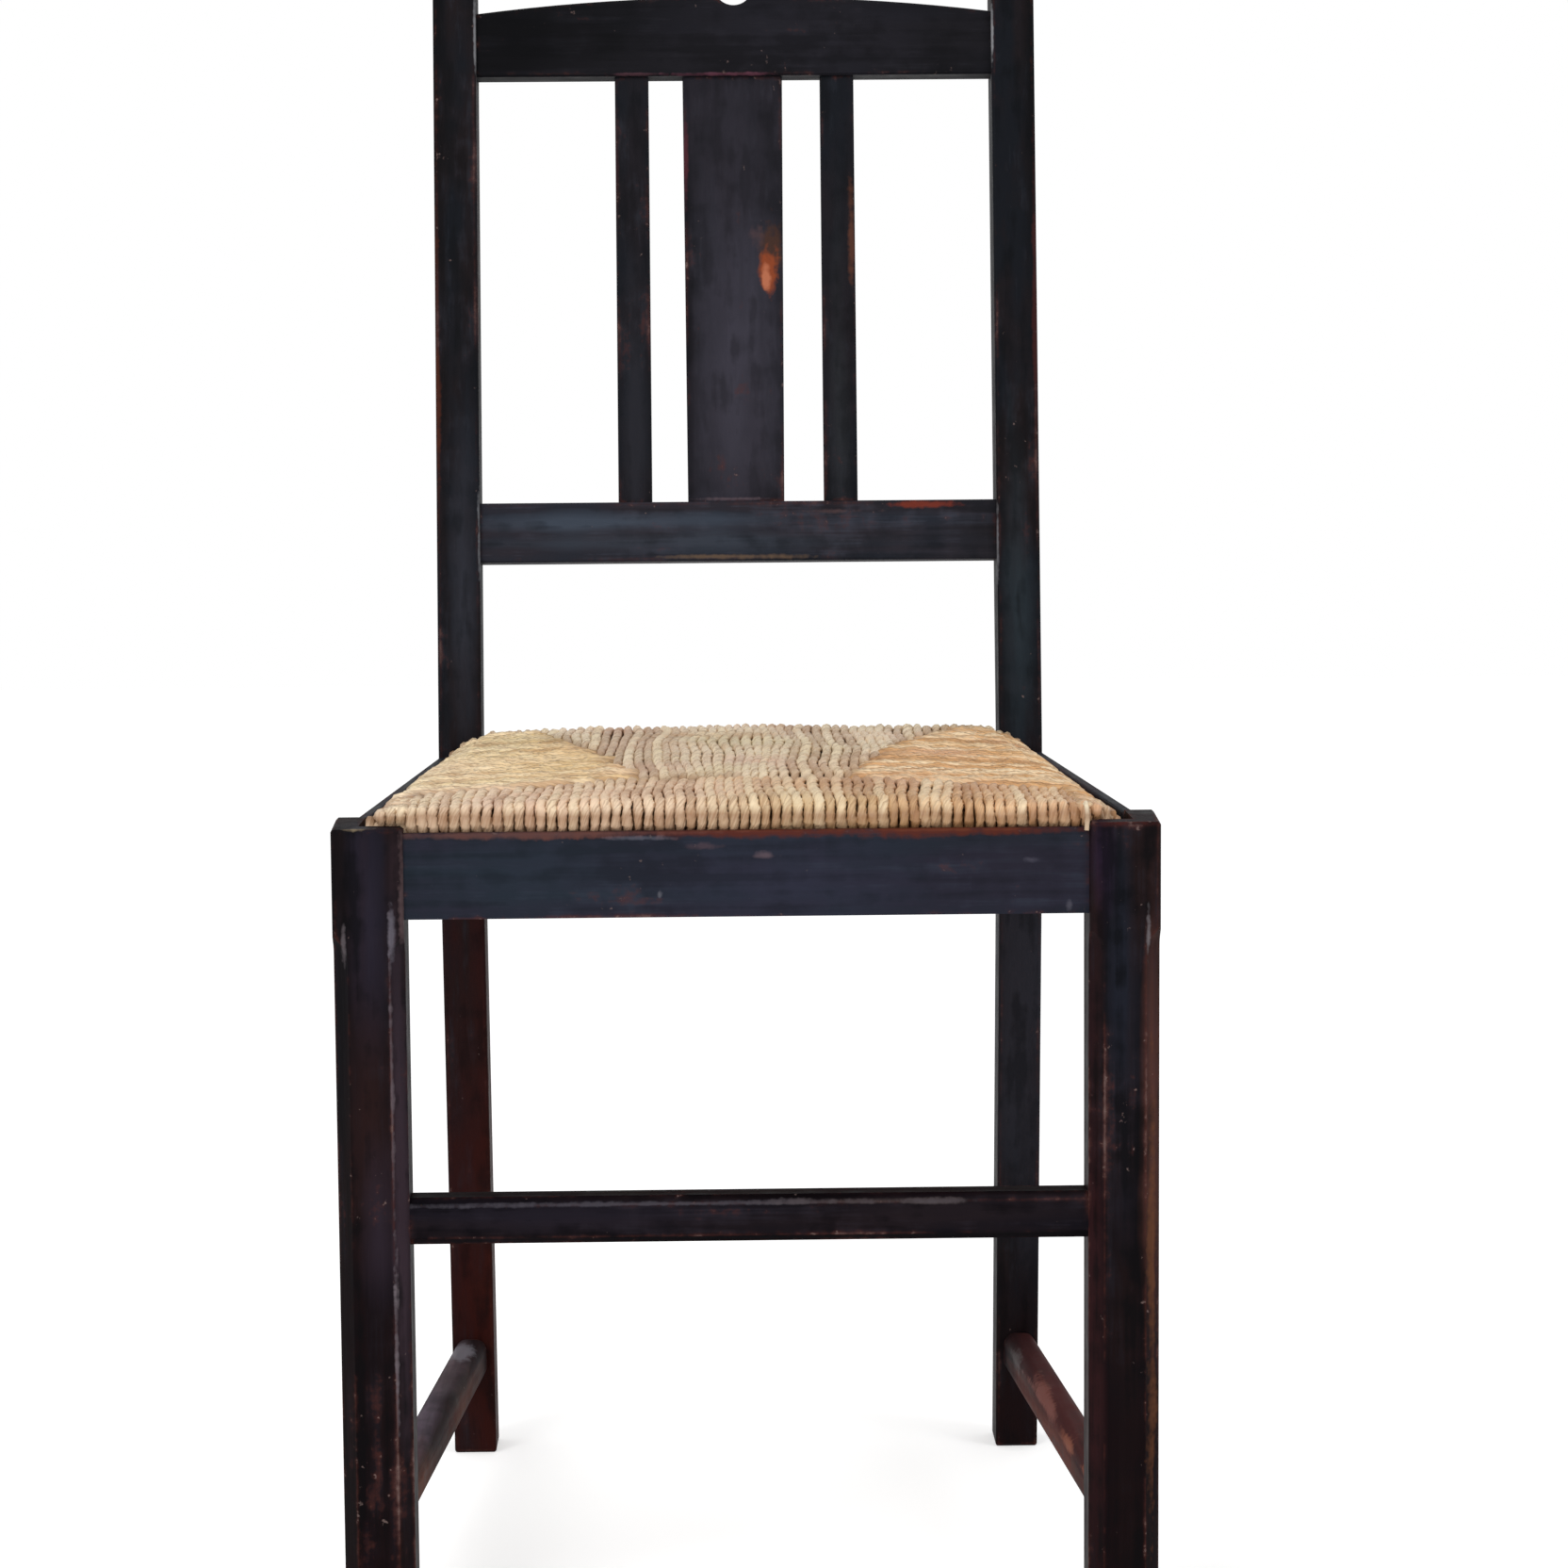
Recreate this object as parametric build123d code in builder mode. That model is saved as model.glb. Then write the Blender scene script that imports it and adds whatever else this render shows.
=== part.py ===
from build123d import *

import os
from collections import namedtuple
from math import cos, radians, sin, tan

# A painted side chair with a loose rush seat and a slatted back. Lengths are in millimetres.
# X runs across the chair, Y from front to back and Z up. The origin is on the floor, at the
# centre of the chair's outline. Right-hand pieces lie on the +X side; left-hand pieces mirror them.

# ---------------------------------------------------------------- driving dimensions

# The whole chair
total_height = 945.0  # floor to the tops of the rear posts
front_width = 446.5  # across the outer faces of the front legs
back_width = 376.0  # across the outer faces of the rear posts
seat_depth = 366.0  # front faces of the legs to front faces of the posts, at the seat

# Front legs
leg_height = 457.5  # at the back face
leg_top_fall = 2.7  # from the back face to the front face
leg_size = 38.5  # square
leg_chamfer = 8.0  # width taken off each face at the two front arrises
leg_chamfer_top = 402.0  # where the chamfers run out
leg_chamfer_runout = 16.0  # length of the curved stop
leg_inner_ease = 4.0  # rounding of the arris beside the front rail, above the chamfer
leg_ease = 1.8  # rounding of the other arrises
leg_top_bevel = 1.5
foot_bevel = 1.5

# Rear posts, sawn to a bent outline and square in the middle, where the seat rails enter
post_width = 26.8
post_depth = 35.0
post_knee_low = 395.0  # below this height the post kicks back
post_knee_high = 462.0  # above this height the post leans back
post_kick = 7.0  # degrees
post_lean = 7.7  # degrees
post_knee_radius = 60.0
post_ease = 1.8
post_top_bevel = 2.5

# Seat rails, with a rebate along their inner top edges that leaves a thin lip outside
seat_rail_bottom = 405.3
seat_rail_thickness = 22.0
seat_rail_ease = 1.5
front_rail_top = 452.0
front_rail_setback = 4.0  # behind the front faces of the legs
side_rail_top = 456.0
side_rail_inset = 10.0  # inside the outer face of the front leg
rear_rail_top = 452.0
ledge_height = 437.0  # floor of the rebate, on which the loose seat rests
lip_width = 6.5

# Back: crest rail and lower rail, with a splat and two slats between them.
# Heights are taken on the front faces of the posts.
crest_bottom = 878.0
crest_end_top = 917.3  # at the posts
crest_shoulder_top = 924.8  # half-way along the rising curve
crest_shoulder_x = 80.0
crest_middle_top = 927.0
crest_notch_radius = 12.0
crest_notch_depth = 5.0
crest_bevel = 1.2
lower_rail_bottom = 576.3
lower_rail_top = 613.2
back_rail_thickness = 19.0
back_rail_setback = 4.0
back_rail_ease = 1.5
splat_centre_x = -1.2
splat_top_width = 62.4
splat_bottom_width = 60.2
splat_thickness = 10.0
slat_width = 21.0
slat_thickness = 11.0
slat_centre_x = 64.3
slat_ease = 1.0

# Stretchers
front_stretcher_bottom = 225.7
front_stretcher_height = 25.8
front_stretcher_depth = 22.0
front_stretcher_setback = 8.0
front_stretcher_bevel = 4.0
side_stretcher_bottom = 51.5
side_stretcher_height = 25.5
side_stretcher_width = 19.5
side_stretcher_ease = 7.0

# Tenons: thickness and length by where they go
tenon_clearance = 0.15
seat_tenon_thickness = 9.0
seat_tenon_bottom = 411.0
seat_tenon_top = 433.0
front_rail_tenon_length = 24.0
leg_tenon_wall = 1.5  # wood between the two tenons in a front leg
side_rail_post_tenon_length = 20.0
rear_rail_tenon_bottom = 436.5  # above the side rail's tenon in the same post
rear_rail_tenon_top = 449.0
rear_rail_tenon_length = 16.0
back_tenon_thickness = 8.0
back_tenon_length = 15.0
back_tenon_shoulder = 6.0  # wood left above and below the tenons of the back rails
slat_tenon_length = 10.0
slat_tenon_thickness = 6.0
slat_tenon_shoulder = 3.0
stretcher_tenon_thickness = 9.0
stretcher_tenon_shoulder = 4.0
stretcher_tenon_length = 16.0

# Corner blocks, screwed into the inner corners of the seat rails, level with the ledge
block_leg = 62.0  # length along each rail
block_height = 22.0
screw_inset = 18.0  # from the end of the block
screw_seat = 12.0  # wood under the head
screw_bite = 14.0  # length in the rail
screw_radius = 2.0
screw_head_radius = 4.0
screw_head_height = 2.6
screw_point = 4.0  # length of the conical point
screw_slot_width = 1.0
screw_slot_depth = 1.1
screw_clearance = 0.1

# Loose seat: a wooden frame wound with rush, which also covers a flat stuffing
seat_clearance = 0.6
seat_top = 475.0  # at the middle of the rear edge, the highest place
seat_top_fall = 5.5  # along the middle, from the rear edge to the front one
seat_crown = 7.0  # rise of the middle over the sides
crown_half_width = 215.0
rush_thickness = 6.5
rush_corner_radius = 12.5
rush_side_top = 469.5
rush_side_radius = 22.0
rush_front_top = 469.0
rush_front_radius = 15.0
rush_rear_top = 474.0
rush_rear_radius = 14.0
rush_edge_sweep = 75.0  # degrees of the round, which then runs out straight
rush_run_out = 50.0
frame_clearance = 0.4
frame_bar_width = 32.0
frame_bar_height = 15.0
frame_bar_ease = 4.0
frame_tenon_thickness = 9.0
frame_tenon_length = 18.0
frame_tenon_shoulder = 7.0
stuffing_clearance = 0.6

# ---------------------------------------------------------------- places that follow

lean_slope = tan(radians(post_lean))
kick_slope = tan(radians(post_kick))
post_top_back = (total_height - post_knee_high) * lean_slope
foot_back = post_knee_low * kick_slope
bevelled_top_back = post_top_back - post_top_bevel * sin(radians(post_lean))
overall_depth = seat_depth + post_depth + max(bevelled_top_back, foot_back)

leg_front_y = -overall_depth / 2
leg_back_y = leg_front_y + leg_size
post_front_y = leg_front_y + seat_depth
leg_outer_x = front_width / 2
leg_inner_x = leg_outer_x - leg_size
post_outer_x = back_width / 2
post_inner_x = post_outer_x - post_width

front_rail_face_y = leg_front_y + front_rail_setback
front_rail_inner_y = front_rail_face_y + seat_rail_thickness
well_front_y = front_rail_face_y + lip_width
side_rail_front_x = leg_outer_x - side_rail_inset
side_rail_slant = (side_rail_front_x - post_outer_x) / (post_front_y - leg_back_y)
# The side rail's tenon is short, so it stops behind the front rail's
front_rail_middle = front_rail_setback + seat_rail_thickness / 2
front_tenon_back = front_rail_middle + seat_tenon_thickness / 2
side_rail_leg_tenon_length = leg_size - front_tenon_back - leg_tenon_wall

leg_middle = (leg_outer_x - leg_size / 2, leg_front_y + leg_size / 2)
seat_tenon_height = seat_tenon_top - seat_tenon_bottom
seat_tenon_middle = (seat_tenon_top + seat_tenon_bottom) / 2

# The leaning plane of the posts' front faces above the seat: its own y runs up the posts
# and its z comes out of their front faces.
lean = radians(post_lean)
up_the_post = (0, sin(lean), cos(lean))
back_plane = Plane(
    origin=(0, post_front_y, post_knee_high),
    x_dir=(1, 0, 0),
    z_dir=(0, -cos(lean), sin(lean)),
)
back_rail_mid_depth = back_rail_setback + back_rail_thickness / 2


def side_face_x(y):
    """X of the right side rail's outer face at a distance y."""
    return side_rail_front_x - side_rail_slant * (y - leg_back_y)


def side_inner_x(y):
    """X of the right side rail's inner face at a distance y."""
    return side_face_x(y) - seat_rail_thickness


def post_front_face_y(z):
    """Y of the posts' front faces at a height below their lower knee."""
    return post_front_y + (post_knee_low - z) * kick_slope


def up_post(z):
    """Distance up the slope of the posts from their upper knee to a height z."""
    return (z - post_knee_high) / cos(lean)


def back_point(x, z, depth):
    """A point of the leaning back, at a height z on the posts and a depth behind their fronts."""
    return back_plane.from_local_coords((x, up_post(z), -depth))


def seat_corners(inset):
    """Corners of the seat's plan, at an even inset from the walls of its well."""
    front = well_front_y + inset
    back = post_front_y - inset
    front_x = side_face_x(front) - lip_width - inset
    back_x = side_face_x(back) - lip_width - inset
    return [(-front_x, front), (front_x, front), (back_x, back), (-back_x, back)]


# ---------------------------------------------------------------- joints between pieces

# A tenon stands on a plane at the shoulder, whose z points into the piece that takes it.
# Its width runs along the plane's x and its height along the plane's y.
Tenon = namedtuple("Tenon", "plane width height length")

front_rail_tenon = Tenon(
    Plane(
        origin=(leg_inner_x, front_rail_face_y + seat_rail_thickness / 2, seat_tenon_middle),
        x_dir=(0, 1, 0),
        z_dir=(1, 0, 0),
    ),
    seat_tenon_thickness,
    seat_tenon_height,
    front_rail_tenon_length,
)
side_rail_leg_tenon = Tenon(
    Plane(
        origin=(side_face_x(leg_back_y) - seat_rail_thickness / 2, leg_back_y, seat_tenon_middle),
        x_dir=(1, 0, 0),
        z_dir=(0, -1, 0),
    ),
    seat_tenon_thickness,
    seat_tenon_height,
    side_rail_leg_tenon_length,
)
side_rail_post_tenon = Tenon(
    Plane(
        origin=(post_outer_x - seat_rail_thickness / 2, post_front_y, seat_tenon_middle),
        x_dir=(-1, 0, 0),
        z_dir=(0, 1, 0),
    ),
    seat_tenon_thickness,
    seat_tenon_height,
    side_rail_post_tenon_length,
)
rear_rail_tenon = Tenon(
    Plane(
        origin=(
            post_inner_x,
            post_front_y + seat_rail_thickness / 2,
            (rear_rail_tenon_bottom + rear_rail_tenon_top) / 2,
        ),
        x_dir=(0, 1, 0),
        z_dir=(1, 0, 0),
    ),
    seat_tenon_thickness,
    rear_rail_tenon_top - rear_rail_tenon_bottom,
    rear_rail_tenon_length,
)


def back_rail_tenon(bottom, top):
    """Tenon of a rail of the leaning back, at the inner face of the right post."""
    place = back_point(post_inner_x, (bottom + top) / 2, back_rail_mid_depth)
    return Tenon(
        Plane(origin=place, x_dir=back_plane.z_dir, z_dir=(1, 0, 0)),
        back_tenon_thickness,
        up_post(top) - up_post(bottom) - 2 * back_tenon_shoulder,
        back_tenon_length,
    )


crest_tenon = back_rail_tenon(crest_bottom, crest_end_top)
lower_rail_tenon = back_rail_tenon(lower_rail_bottom, lower_rail_top)


def slat_tenon(x, z, width, direction):
    """Tenon of a slat, at the edge of a back rail; direction 1 points up and -1 down."""
    up = Vector(*up_the_post) * direction
    return Tenon(
        Plane(origin=back_point(x, z, back_rail_mid_depth), x_dir=(1, 0, 0), z_dir=up),
        width - 2 * slat_tenon_shoulder,
        slat_tenon_thickness,
        slat_tenon_length,
    )


splat_top_tenon = slat_tenon(splat_centre_x, crest_bottom, splat_top_width, 1)
splat_bottom_tenon = slat_tenon(splat_centre_x, lower_rail_top, splat_bottom_width, -1)
slat_top_tenon = slat_tenon(slat_centre_x, crest_bottom, slat_width, 1)
slat_bottom_tenon = slat_tenon(slat_centre_x, lower_rail_top, slat_width, -1)

front_stretcher_middle = (
    leg_front_y + front_stretcher_setback + front_stretcher_depth / 2,
    front_stretcher_bottom + front_stretcher_height / 2,
)
front_stretcher_tenon = Tenon(
    Plane(origin=(leg_inner_x, *front_stretcher_middle), x_dir=(0, 1, 0), z_dir=(1, 0, 0)),
    stretcher_tenon_thickness,
    front_stretcher_height - 2 * stretcher_tenon_shoulder,
    stretcher_tenon_length,
)
side_stretcher_z = side_stretcher_bottom + side_stretcher_height / 2
side_stretcher_leg_x = leg_outer_x - leg_size / 2
side_stretcher_post_x = post_outer_x - post_width / 2
side_stretcher_post_y = post_front_face_y(side_stretcher_z)
side_stretcher_tenon_height = side_stretcher_height - 2 * stretcher_tenon_shoulder
side_stretcher_leg_tenon = Tenon(
    Plane(
        origin=(side_stretcher_leg_x, leg_back_y, side_stretcher_z),
        x_dir=(1, 0, 0),
        z_dir=(0, -1, 0),
    ),
    stretcher_tenon_thickness,
    side_stretcher_tenon_height,
    stretcher_tenon_length,
)
# The post leans here, so this tenon starts a little inside the stretcher's sloping shoulder.
shoulder_slope = side_stretcher_height * kick_slope
side_stretcher_post_tenon = Tenon(
    Plane(
        origin=(side_stretcher_post_x, side_stretcher_post_y - shoulder_slope, side_stretcher_z),
        x_dir=(-1, 0, 0),
        z_dir=(0, 1, 0),
    ),
    stretcher_tenon_thickness,
    side_stretcher_tenon_height,
    stretcher_tenon_length + shoulder_slope,
)


def grow_tenon(tenon):
    """Add a tenon to the part being built."""
    with BuildSketch(tenon.plane) as section:
        Rectangle(tenon.width, tenon.height)
    extrude(section.sketch, amount=tenon.length)


def cut_mortise(tenon):
    """Cut the mortise for a tenon into the part being built, with clearance all round."""
    with BuildSketch(tenon.plane) as mouth:
        Rectangle(tenon.width + 2 * tenon_clearance, tenon.height + 2 * tenon_clearance)
    extrude(mouth.sketch, amount=tenon.length + tenon_clearance, mode=Mode.SUBTRACT)


# Screws of the corner blocks: planes on the inner faces of the rails, with z into the rail.
# A block starts from the rail at corner_y and reaches along the side rail by block_leg;
# towards is 1 for the front blocks, which reach back, and -1 for the rear ones.
screw_z = ledge_height - block_height / 2


def cross_rail_screw(corner_y, towards):
    """Plane of the screw that enters the front or rear rail, on the right side."""
    x = side_inner_x(corner_y) - block_leg + screw_inset
    return Plane(origin=(x, corner_y, screw_z), x_dir=(1, 0, 0), z_dir=(0, -towards, 0))


def side_rail_screw(corner_y, towards):
    """Plane of the screw that enters the right side rail."""
    y = corner_y + towards * (block_leg - screw_inset)
    return Plane(origin=(side_inner_x(y), y, screw_z), x_dir=(0, 1, 0), z_dir=(1, 0, 0))


def cut_screw_hole(screw_plane):
    """Cut the part being built for a screw: a hole for its shank and a square notch for its head."""
    with BuildSketch(screw_plane.offset(-screw_seat)) as shank:
        Circle(screw_radius + screw_clearance)
    extrude(shank.sketch, amount=screw_seat + screw_bite + screw_clearance, mode=Mode.SUBTRACT)
    notch_width = 2 * (screw_head_radius + screw_clearance)
    with BuildSketch(screw_plane.offset(-screw_seat)) as notch:
        Rectangle(notch_width, notch_width)
    extrude(notch.sketch, amount=-screw_inset, mode=Mode.SUBTRACT)


front_corner_y = front_rail_inner_y
rear_corner_y = post_front_y
front_rail_screw = cross_rail_screw(front_corner_y, 1)
rear_rail_screw = cross_rail_screw(rear_corner_y, -1)
side_rail_front_screw = side_rail_screw(front_corner_y, 1)
side_rail_rear_screw = side_rail_screw(rear_corner_y, -1)
screw_planes = [
    front_rail_screw,
    rear_rail_screw,
    side_rail_front_screw,
    side_rail_rear_screw,
]

# ---------------------------------------------------------------- the seat's well


def seat_plan(inset, height):
    """Plan of the seat, at an even inset from the walls of its well, drawn at a height."""
    with BuildSketch(Plane.XY.offset(height)) as plan:
        with BuildLine():
            Polyline(*seat_corners(inset), close=True)
        make_face()
    return plan.sketch


# The space that the loose seat drops into, cut from the rails and the tops of the front legs
with BuildPart() as seat_well:
    extrude(seat_plan(0, ledge_height), amount=total_height - ledge_height)

# ---------------------------------------------------------------- front legs


def cut_stopped_chamfer(arris_x, inward):
    """Run a chamfer up a front arris of the leg being built and stop it in a lamb's tongue."""
    depth = leg_chamfer * sin(radians(45))
    arris = Plane(origin=(arris_x, leg_front_y, 0), x_dir=(inward, 1, 0), z_dir=(1, -inward, 0))
    runout_start = leg_chamfer_top - leg_chamfer_runout
    quarter = leg_chamfer_runout / 2
    with BuildSketch(arris) as waste:
        with BuildLine():
            tongue = Bezier(
                (depth, runout_start),
                (depth, runout_start + quarter),
                (0, leg_chamfer_top - quarter),
                (0, leg_chamfer_top),
            )
            Polyline(tongue @ 1, (-depth, leg_chamfer_top), (-depth, 0), (depth, 0), tongue @ 0)
        make_face()
    extrude(waste.sketch, amount=leg_chamfer, both=True, mode=Mode.SUBTRACT)


def front_arrises(leg):
    """The upright edges at the front of a leg, from its inner side outwards."""
    return leg.edges().filter_by(Axis.Z).group_by(Axis.Y)[0].sort_by(Axis.X)


with BuildPart() as front_leg_right:
    with BuildSketch(Plane.YZ.offset(leg_inner_x)):
        with BuildLine():
            Polyline(
                (leg_front_y, 0),
                (leg_front_y, leg_height - leg_top_fall),
                (leg_back_y, leg_height),
                (leg_back_y, 0),
                close=True,
            )
        make_face()
    extrude(amount=leg_size)
    chamfer(front_leg_right.faces().sort_by(Axis.Z)[-1].edges(), leg_top_bevel)
    chamfer(front_leg_right.faces().sort_by(Axis.Z)[0].edges(), foot_bevel)
    fillet(front_leg_right.edges().filter_by(Axis.Z).group_by(Axis.Y)[-1], leg_ease)
    fillet(front_arrises(front_leg_right)[0], leg_inner_ease)
    fillet(front_arrises(front_leg_right)[-1], leg_ease)
    cut_stopped_chamfer(leg_outer_x, -1)
    cut_stopped_chamfer(leg_inner_x, 1)
    add(seat_well.part, mode=Mode.SUBTRACT)
    cut_mortise(front_rail_tenon)
    cut_mortise(side_rail_leg_tenon)
    cut_mortise(front_stretcher_tenon)
    cut_mortise(side_stretcher_leg_tenon)

with BuildPart() as front_leg_left:
    mirror(front_leg_right.part, about=Plane.YZ)

# ---------------------------------------------------------------- rear posts

with BuildSketch(Plane.YZ.offset(post_inner_x)) as post_side:
    with BuildLine():
        post_front = Polyline(
            (post_front_y + foot_back, 0),
            (post_front_y, post_knee_low),
            (post_front_y, post_knee_high),
            (post_front_y + post_top_back, total_height),
        )
        post_rear = Polyline(
            (post_front_y + foot_back + post_depth, 0),
            (post_front_y + post_depth, post_knee_low),
            (post_front_y + post_depth, post_knee_high),
            (post_front_y + post_top_back + post_depth, total_height),
        )
        Line(post_front @ 0, post_rear @ 0)
        Line(post_front @ 1, post_rear @ 1)
    make_face()
    knees = post_side.vertices().filter_by_position(Axis.Y, post_knee_low, post_knee_high)
    fillet(knees, post_knee_radius)

with BuildPart() as rear_post_right:
    extrude(post_side.sketch, amount=post_width)
    top_face = rear_post_right.faces().sort_by(Axis.Z)[-1]
    chamfer(top_face.edges().filter_by(Axis.X), post_top_bevel)
    foot_face = rear_post_right.faces().sort_by(Axis.Z)[0]
    chamfer(foot_face.edges().filter_by(Axis.X), foot_bevel)
    fillet(rear_post_right.faces().filter_by(Axis.X).edges(), post_ease)
    cut_mortise(side_rail_post_tenon)
    cut_mortise(rear_rail_tenon)
    cut_mortise(crest_tenon)
    cut_mortise(lower_rail_tenon)
    cut_mortise(side_stretcher_post_tenon)

with BuildPart() as rear_post_left:
    mirror(rear_post_right.part, about=Plane.YZ)

# ---------------------------------------------------------------- seat rails


def ease_lip(part, depth_of_arrises):
    """Round the two long top arrises of a rail's lip."""
    lip_edges = part.faces().sort_by(Axis.Z)[-1].edges().sort_by(SortBy.LENGTH)[-2:]
    fillet(lip_edges, depth_of_arrises)


with BuildPart() as front_seat_rail:
    with BuildSketch(Plane.YZ):
        with Locations((front_rail_face_y, seat_rail_bottom)):
            Rectangle(
                seat_rail_thickness,
                front_rail_top - seat_rail_bottom,
                align=(Align.MIN, Align.MIN),
            )
    extrude(amount=leg_inner_x)
    add(seat_well.part, mode=Mode.SUBTRACT)
    grow_tenon(front_rail_tenon)
    cut_screw_hole(front_rail_screw)
    mirror(about=Plane.YZ)
    ease_lip(front_seat_rail, seat_rail_ease)

with BuildPart() as side_seat_rail_right:
    with BuildSketch(Plane.XY.offset(seat_rail_bottom)):
        with BuildLine():
            Polyline(
                (side_face_x(leg_back_y), leg_back_y),
                (side_face_x(post_front_y), post_front_y),
                (side_inner_x(post_front_y), post_front_y),
                (side_inner_x(leg_back_y), leg_back_y),
                close=True,
            )
        make_face()
    extrude(amount=side_rail_top - seat_rail_bottom)
    add(seat_well.part, mode=Mode.SUBTRACT)
    ease_lip(side_seat_rail_right, seat_rail_ease)
    grow_tenon(side_rail_leg_tenon)
    grow_tenon(side_rail_post_tenon)
    cut_screw_hole(side_rail_front_screw)
    cut_screw_hole(side_rail_rear_screw)

with BuildPart() as side_seat_rail_left:
    mirror(side_seat_rail_right.part, about=Plane.YZ)

with BuildPart() as rear_seat_rail:
    with BuildSketch(Plane.YZ):
        with Locations((post_front_y, seat_rail_bottom)):
            Rectangle(
                seat_rail_thickness,
                rear_rail_top - seat_rail_bottom,
                align=(Align.MIN, Align.MIN),
            )
    extrude(amount=post_inner_x)
    grow_tenon(rear_rail_tenon)
    cut_screw_hole(rear_rail_screw)
    mirror(about=Plane.YZ)
    ease_lip(rear_seat_rail, seat_rail_ease)

# ---------------------------------------------------------------- back

# A rail of the back is drawn as its right half on the plane of its front face
back_rail_front = back_plane.offset(-back_rail_setback)
up_axis = Axis((0, 0, 0), up_the_post)


def back_rail_arrises(part):
    """The long arrises of a back rail, without those at its ends."""
    return part.faces().filter_by(back_plane).edges().filter_by(up_axis, reverse=True)


with BuildPart() as crest_rail:
    with BuildSketch(back_rail_front):
        with BuildLine():
            rise = ThreePointArc(
                (post_inner_x, up_post(crest_end_top)),
                (crest_shoulder_x, up_post(crest_shoulder_top)),
                (0, up_post(crest_middle_top)),
            )
            Polyline(
                rise @ 1,
                (0, up_post(crest_bottom)),
                (post_inner_x, up_post(crest_bottom)),
                rise @ 0,
            )
        make_face()
        with Locations((0, up_post(crest_middle_top) - crest_notch_depth + crest_notch_radius)):
            Circle(crest_notch_radius, mode=Mode.SUBTRACT)
    extrude(amount=-back_rail_thickness)
    chamfer(back_rail_arrises(crest_rail), crest_bevel)
    grow_tenon(crest_tenon)
    cut_mortise(slat_top_tenon)
    mirror(about=Plane.YZ)
    cut_mortise(splat_top_tenon)

with BuildPart() as lower_back_rail:
    with BuildSketch(back_rail_front):
        with Locations((0, up_post(lower_rail_bottom))):
            Rectangle(
                post_inner_x,
                up_post(lower_rail_top) - up_post(lower_rail_bottom),
                align=(Align.MIN, Align.MIN),
            )
    extrude(amount=-back_rail_thickness)
    fillet(back_rail_arrises(lower_back_rail), back_rail_ease)
    grow_tenon(lower_rail_tenon)
    cut_mortise(slat_bottom_tenon)
    mirror(about=Plane.YZ)
    cut_mortise(splat_bottom_tenon)


def build_slat(centre_x, bottom_width, top_width, thickness):
    """Add a slat's board to the part being built, centred in the thickness of the back rails."""
    bottom = up_post(lower_rail_top)
    top = up_post(crest_bottom)
    with BuildSketch(back_plane.offset(thickness / 2 - back_rail_mid_depth)) as board:
        with BuildLine():
            Polyline(
                (centre_x - bottom_width / 2, bottom),
                (centre_x + bottom_width / 2, bottom),
                (centre_x + top_width / 2, top),
                (centre_x - top_width / 2, top),
                close=True,
            )
        make_face()
    extrude(board.sketch, amount=-thickness)


with BuildPart() as centre_splat:
    build_slat(splat_centre_x, splat_bottom_width, splat_top_width, splat_thickness)
    fillet(centre_splat.edges().sort_by(SortBy.LENGTH)[-4:], slat_ease)
    grow_tenon(splat_top_tenon)
    grow_tenon(splat_bottom_tenon)

with BuildPart() as side_slat_right:
    build_slat(slat_centre_x, slat_width, slat_width, slat_thickness)
    fillet(side_slat_right.edges().sort_by(SortBy.LENGTH)[-4:], slat_ease)
    grow_tenon(slat_top_tenon)
    grow_tenon(slat_bottom_tenon)

with BuildPart() as side_slat_left:
    mirror(side_slat_right.part, about=Plane.YZ)

# ---------------------------------------------------------------- stretchers

with BuildPart() as front_stretcher:
    with BuildSketch(Plane.YZ) as stretcher_section:
        with Locations(front_stretcher_middle):
            Rectangle(front_stretcher_depth, front_stretcher_height)
        chamfer(stretcher_section.vertices(), front_stretcher_bevel)
    extrude(amount=leg_inner_x)
    grow_tenon(front_stretcher_tenon)
    mirror(about=Plane.YZ)

# A side stretcher is drawn in plan, past the post's leaning face, and cut back to it
stretcher_reach_y = side_stretcher_post_y + post_depth / 2
with BuildPart() as side_stretcher_right:
    with BuildSketch(Plane.XY.offset(side_stretcher_bottom)):
        with BuildLine():
            Polyline(
                (side_stretcher_leg_x + side_stretcher_width / 2, leg_back_y),
                (side_stretcher_post_x + side_stretcher_width / 2, stretcher_reach_y),
                (side_stretcher_post_x - side_stretcher_width / 2, stretcher_reach_y),
                (side_stretcher_leg_x - side_stretcher_width / 2, leg_back_y),
                close=True,
            )
        make_face()
    extrude(amount=side_stretcher_height)
    fillet(side_stretcher_right.edges().sort_by(SortBy.LENGTH)[-4:], side_stretcher_ease)
    extrude(post_side.sketch, amount=post_width, mode=Mode.SUBTRACT)
    grow_tenon(side_stretcher_leg_tenon)
    grow_tenon(side_stretcher_post_tenon)

with BuildPart() as side_stretcher_left:
    mirror(side_stretcher_right.part, about=Plane.YZ)

# ---------------------------------------------------------------- corner blocks and their screws


def block_plan(corner_y, towards):
    """Plan of the right corner block at a front or rear rail, notched round the front leg."""
    far_y = corner_y + towards * block_leg
    with BuildSketch(Plane.XY.offset(ledge_height - block_height)) as plan:
        with BuildLine():
            Polyline(
                (side_inner_x(corner_y), corner_y),
                (side_inner_x(corner_y) - block_leg, corner_y),
                (side_inner_x(far_y), far_y),
                close=True,
            )
        make_face()
        with Locations(leg_middle):
            Rectangle(leg_size, leg_size, mode=Mode.SUBTRACT)
    return plan.sketch


with BuildPart() as corner_block_front_right:
    extrude(block_plan(front_corner_y, 1), amount=block_height)
    cut_screw_hole(front_rail_screw)
    cut_screw_hole(side_rail_front_screw)

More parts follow.
